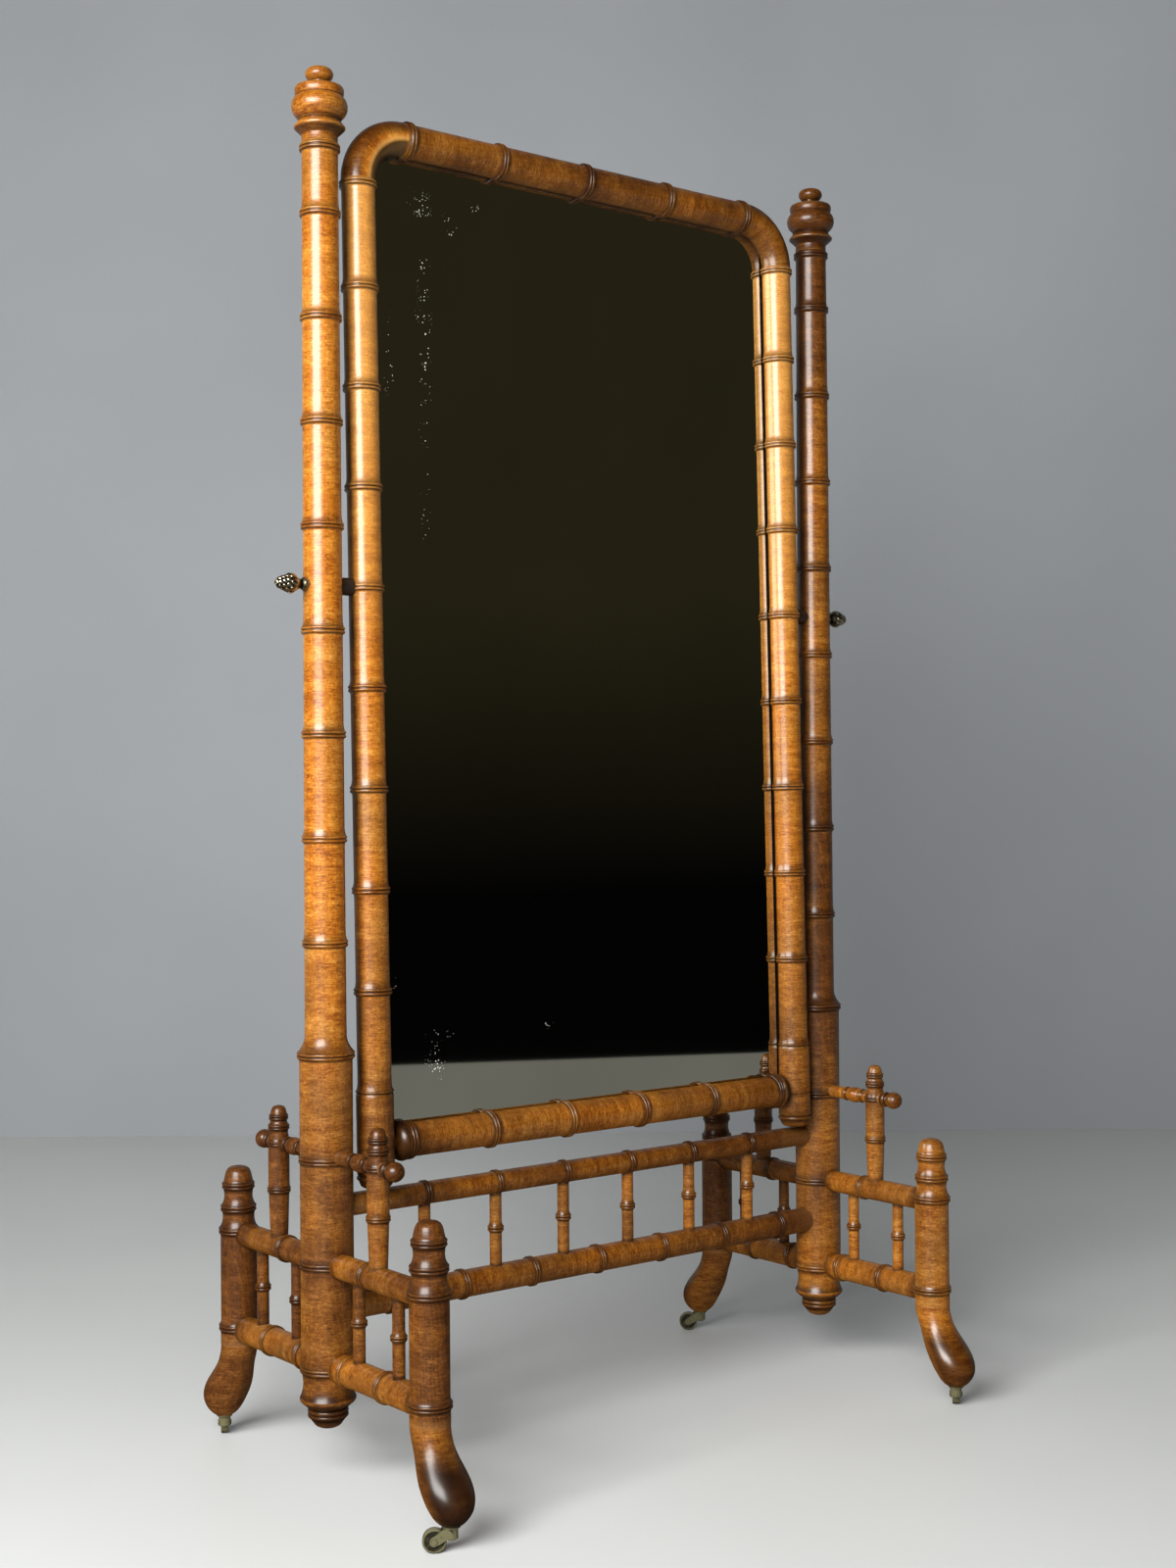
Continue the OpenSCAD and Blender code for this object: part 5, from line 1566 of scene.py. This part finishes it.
@dataclass
class Pivots:
    """The brass plates, the spacers and the pine-cone thumbscrews that clamp the mirror."""

    plate_face: float = 22.5
    spacer_r: float = 12.0
    spacer_len: float = 21.3
    seat: float = 24.7
    ball_r: float = 9.3
    ball_half: float = 5.9
    ball_x: float = 28.6
    cone_r: float = 13.0
    tip_x: float = 73.2
    shank_r: float = 4.0
    rows: tuple[ScaleRow, ...] = (
        ScaleRow(8, 0.9, 20.2, 5.6, 4.3, 1.5, 14, -6),
        ScaleRow(8, 2.6, 26.4, 4.6, 3.4, 1.4, 30, 9),
        ScaleRow(7, 4.2, 32.2, 4.2, 3.1, 1.4, 34, 14),
        ScaleRow(6, 6.4, 37.4, 3.8, 2.7, 1.4, 34, 24),
        ScaleRow(4, 9.6, 41.2, 3.2, 2.3, 1.3, 30, 40),
    )

    def thumbscrew_outline(self) -> Outline:
        """Draws the thumbscrew's turned core: shank, flat ball, neck and cone.

        Returns:
            The outline, outward from the post's axis.
        """
        ball, r = self.ball_x, self.cone_r
        line = Outline().to(self.shank_r, -60, 0).to(self.shank_r, self.seat, 0)
        line.arc(0, ball, self.ball_r, -40, 52, self.ball_half / self.ball_r, 0.0)
        line.to(5.2, ball + 5.2, 0.9).to(6.2, ball + 7.4, 0.5).to(8.6, ball + 11, 0.45)
        line.to(11.6, ball + 15.4, 0.4).to(r - 0.4, ball + 18.6, 0.6).to(r - 1.2, ball + 21.6, 1.0)
        for i in range(9):
            u = i / 8
            radius = (r - 2.4) * math.sqrt(1 - (0.96 * u) ** 2)
            line.to(radius, ball + 22.5 + u * (self.tip_x - ball - 24.3), 1.0)
        return line.to(0, self.tip_x - 1.6, 1.0)

    def place(self, side: Side, x: float) -> Matrix:
        """Returns the place of a piece that points outward from the pivot's axis."""
        return at(side.value * x, 0, LAYOUT.pivot_z) @ side.mirrored() @ Axis.ACROSS.value

    def thumbscrew(self, side: Side, finishes: Finishes) -> None:
        """Builds one thumbscrew, with rows of skewed scales raised from the dark core.

        Args:
            side: Its side.
            finishes: The finishes.
        """
        place = self.place(side, LAYOUT.post_x)
        lathe = Lathe("pine_cone_thumbscrew_" + side.word).turn(self.thumbscrew_outline(), place, 0.0)
        for number, row in enumerate(self.rows):
            spot = Matrix.Translation(((self.cone_r - row.sunk) * MM, 0, (self.ball_x + row.along) * MM))
            slope = Matrix.Rotation(math.radians(-row.slope), 4, "Y")
            skew = Matrix.Rotation(math.radians(row.skew), 4, "X")
            size = Matrix.Diagonal((row.rise * MM, row.width * MM, row.half * MM, 1.0))
            for i in range(row.count):
                turn = Matrix.Rotation(math.tau * (i + 0.5 * (number % 2)) / row.count, 4, "Z")
                scale = bmesh.new()
                bmesh.ops.create_uvsphere(scale, u_segments=12, v_segments=8, radius=1.0)
                lathe.add(scale, place @ turn @ spot @ slope @ skew @ size)
        name = "thumbscrew_" + side.word
        settle(lathe.finish(finishes.brass), name, name)

    def build(self, finishes: Finishes) -> None:
        """Builds spacers and thumbscrews and gives the plates their brass.

        Args:
            finishes: The finishes.
        """
        spacers, r, long = Lathe("turned_spacers", 48), self.spacer_r, self.spacer_len
        line = Outline().to(r - 0.6, 0).to(r, 0.6).to(r, long - 0.6).to(r - 0.6, long)
        for side in Side:
            spacers.turn(line, LAYOUT.lean() @ self.place(side, LAYOUT.stile_x + self.plate_face), 0.0)
            self.thumbscrew(side, finishes)
        settle(spacers.finish(finishes.ebonised), "mirror", "pivot_spacers")
        dress("pivot_plates", finishes.brass)


@dataclass(frozen=True)
class StudioPaint(Finish):
    """Matt paint on a staged surface, with a faint mottle.

    Where one_sided is set, its back can be seen through. Its gloss colours are a painted reflection: a glow
    that glossy rays see in place of the paint, darker near the object and paler farther out.
    """

    dark: str
    light: str
    roughness: float
    one_sided: bool = False
    gloss: tuple[str, str] | None = None

    def surface(self, add: Adder) -> Socket:
        """Builds the paint.

        Args:
            add: Adds a node to the finish.

        Returns:
            The shader.
        """
        place = add("TexCoord", {}, "Object")
        mottle = add("TexNoise", {"Vector": place, "Scale": 0.7, "Detail": 3.0})
        colour = add("ValToRGB", {"ramp": ((0.3, self.dark), (0.7, self.light)), 0: mottle})
        shader = add("BsdfPrincipled", {"Base Color": colour, "Roughness": self.roughness})
        if self.gloss:
            # Painted reflection: glossy rays see a glow in place of the paint, darker near the object
            away = add("VectorMath", {"operation": "LENGTH", 0: place}, 1)
            share = add("MapRange", {"span": (1.1, 1.7, 0.0, 1.0), 0: away})
            seen = add("ValToRGB", {"ramp": ((0.0, self.gloss[0]), (1.0, self.gloss[1])), 0: share})
            mirrored = add("LightPath", {}, "Is Glossy Ray")
            shader = add("MixShader", {0: mirrored, 1: shader, 2: add("Emission", {0: seen})})
        if self.one_sided:
            back = add("NewGeometry", {}, "Backfacing")
            shader = add("MixShader", {0: back, 1: shader, 2: add("BsdfTransparent", {})})
        return shader


@dataclass(frozen=True)
class PaintedReflectionCard(Finish):
    """A glowing sheet seen only in reflections: a painted reflection of an unlit room, a little paler towards
    its ceiling.
    """

    name: str = "dark_card"
    low: str = "#050505"
    high: str = "#302B1D"

    def surface(self, add: Adder) -> Socket:
        """Builds the card's glow.

        Args:
            add: Adds a node to the finish.

        Returns:
            The shader.
        """
        height = add("SeparateXYZ", {0: add("TexCoord", {}, "Object")}, 2)
        share = add("MapRange", {"span": (0.7, 2.0, 0.0, 1.0), 0: height})
        return add("Emission", {0: add("ValToRGB", {"ramp": ((0.0, self.low), (1.0, self.high)), 0: share})})


@dataclass
class Studio:
    """Camera, floor, backdrop and lamps around the object, in metres."""

    camera_place: Triple = (-1.86372, -2.35167, 0.92649)
    yaw: float = 0.66788
    pitch: float = 0.00446
    roll: float = -0.00736
    lens: float = 46.683
    floor_size: float = 60.0
    wall_depth: float = 5.55
    wall_size: Pair = (16.0, 8.0)
    card_depth: float = 5.6
    card_size: Pair = (9.0, 6.0)
    aim: Triple = (0.0, 0.0, 0.9)
    key_place: Triple = (-3.2, -1.65, 2.2)
    key_size: Pair = (2.7, 1.9)
    key_watts: float = 300.0
    fill_place: Triple = (-2.5, -3.5, 3.1)
    fill_size: Pair = (1.8, 1.8)
    fill_watts: float = 22.0

    def camera(self) -> None:
        """Makes the camera at the photograph's place and angle."""
        level = math.cos(self.pitch)
        forward = Vector((math.sin(self.yaw) * level, math.cos(self.yaw) * level, math.sin(self.pitch)))
        right = Vector((math.cos(self.yaw), -math.sin(self.yaw), 0))
        up = right.cross(forward)
        turned_right = math.cos(self.roll) * right + math.sin(self.roll) * up
        turned_up = -math.sin(self.roll) * right + math.cos(self.roll) * up
        data = bpy.data.cameras.new("camera")
        data.lens, data.sensor_width, data.sensor_fit = self.lens, 36.0, "AUTO"
        data.clip_start, data.clip_end = 0.05, 200.0
        camera = bpy.data.objects.new("camera", data)
        turn = Matrix((turned_right, turned_up, -forward)).transposed().to_4x4()
        camera.matrix_world = Matrix.Translation(self.camera_place) @ turn
        bpy.context.scene.collection.objects.link(camera)
        bpy.context.scene.camera = camera

    def plane(self, name: str, size: Pair, place: Matrix, finish: Finish) -> bpy.types.Object:
        """Makes a flat staged plane.

        Args:
            name: The object's name.
            size: Width and height.
            place: Where its middle goes; it faces its own +Z.
            finish: Its finish.

        Returns:
            The object.
        """
        part = bmesh.new()
        bmesh.ops.create_grid(part, x_segments=1, y_segments=1, size=0.5)
        bmesh.ops.transform(part, matrix=place @ Matrix.Diagonal((*size, 1, 1)), verts=part.verts)
        plane = new_object(part, name, finish.build())
        return plane

    def screen(
        self, name: str, size: Pair, middle: Vector, facing: Vector, finish: Finish
    ) -> bpy.types.Object:
        """Makes an upright staged plane that stands on the floor.

        Args:
            name: The object's name.
            size: Width and height.
            middle: Where it stands.
            facing: The way it faces.
            finish: Its finish.

        Returns:
            The object.
        """
        turn = facing.to_track_quat("Z", "Y").to_matrix().to_4x4()
        return self.plane(name, size, Matrix.Translation((middle.x, middle.y, size[1] / 2)) @ turn, finish)

    def lamp(self, name: str, place: Triple, size: Pair, power: float) -> bpy.types.Object:
        """Makes an area lamp that faces the object's middle.

        Args:
            name: The lamp's name.
            place: Where it stands.
            size: Width and height.
            power: Power in watts.

        Returns:
            The lamp.
        """
        data = bpy.data.lights.new(name, "AREA")
        data.shape, data.size, data.size_y, data.energy = "RECTANGLE", size[0], size[1], power
        lamp = bpy.data.objects.new(name, data)
        way = Vector(self.aim) - Vector(place)
        lamp.matrix_world = Matrix.Translation(place) @ way.to_track_quat("-Z", "Y").to_matrix().to_4x4()
        bpy.context.scene.collection.objects.link(lamp)
        return lamp

    def air(self) -> None:
        """Makes the surrounding light: pale for diffuse rays and dim in the gloss, as with one window."""
        world = bpy.data.worlds.new("studio_air")
        world.use_nodes = True
        world.node_tree.nodes.clear()
        add = partial(add_node, world.node_tree)
        glossy = add("LightPath", {}, "Is Glossy Ray")
        pale = add("Background", {0: "#C9CDD1", 1: 0.12})
        dim = add("Background", {0: "#6F665C", 1: 0.1})
        add("OutputWorld", {"Surface": add("MixShader", {0: glossy, 1: pale, 2: dim})})
        bpy.context.scene.world = world

    def build(self) -> None:
        """Builds the studio."""
        self.camera()
        # The floor shows a painted reflection in the object's polish and glass
        floor = StudioPaint("pale_floor_paint", "#D2D3D1", "#DCDDDA", 0.5, gloss=("#3A3733", "#82817A"))
        self.plane("studio_floor", (self.floor_size, self.floor_size), Matrix.Identity(4), floor)
        forward = Vector((math.sin(self.yaw), math.cos(self.yaw), 0))
        behind = Vector(self.camera_place) + forward * self.wall_depth
        wall = StudioPaint("painted_wall", "#9A9DA0", "#A6A9AC", 0.8, one_sided=True)
        self.screen("studio_wall", self.wall_size, behind, -forward, wall)
        mirrored = Vector((forward.x, -forward.y, 0))
        # Painted reflection: a glowing card that only glossy rays see, standing in for a dark room
        card = self.screen("dark_card", self.card_size, mirrored * self.card_depth, -mirrored, PaintedReflectionCard())
        card.visible_camera = card.visible_diffuse = card.visible_shadow = False
        self.lamp("key_window", self.key_place, self.key_size, self.key_watts)
        fill = self.lamp("front_fill", self.fill_place, self.fill_size, self.fill_watts)
        fill.visible_glossy = False
        self.air()
        bpy.context.scene.view_settings.view_transform = "Standard"


def main() -> None:
    """Builds the object and its studio in order."""
    logging.basicConfig(level=logging.INFO, format="%(message)s")
    finishes, glazing = Finishes(), Glazing()
    for side in Side:
        Post(side).build(finishes)
    spindles, knobs = Lathe("side_spindle_turnings", 40), Lathe("arm_knob_turnings", 40)
    for side in Side:
        for end in End:
            SideFrame(side, end).build(finishes, spindles, knobs)
    settle(spindles.finish(finishes.maple), "stand", "side_spindles")
    settle(knobs.finish(finishes.maple), "stand", "arm_knobs")
    Gallery().build(finishes)
    MirrorFrame(glazing).build(finishes)
    glazing.build(finishes)
    Pivots().build(finishes)
    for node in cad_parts:
        if node.startswith("caster_"):
            dress(node, finishes.dull_brass)
    dress("frame_dowels", finishes.pine)
    Studio().build()


if __name__ == "__main__":
    main()
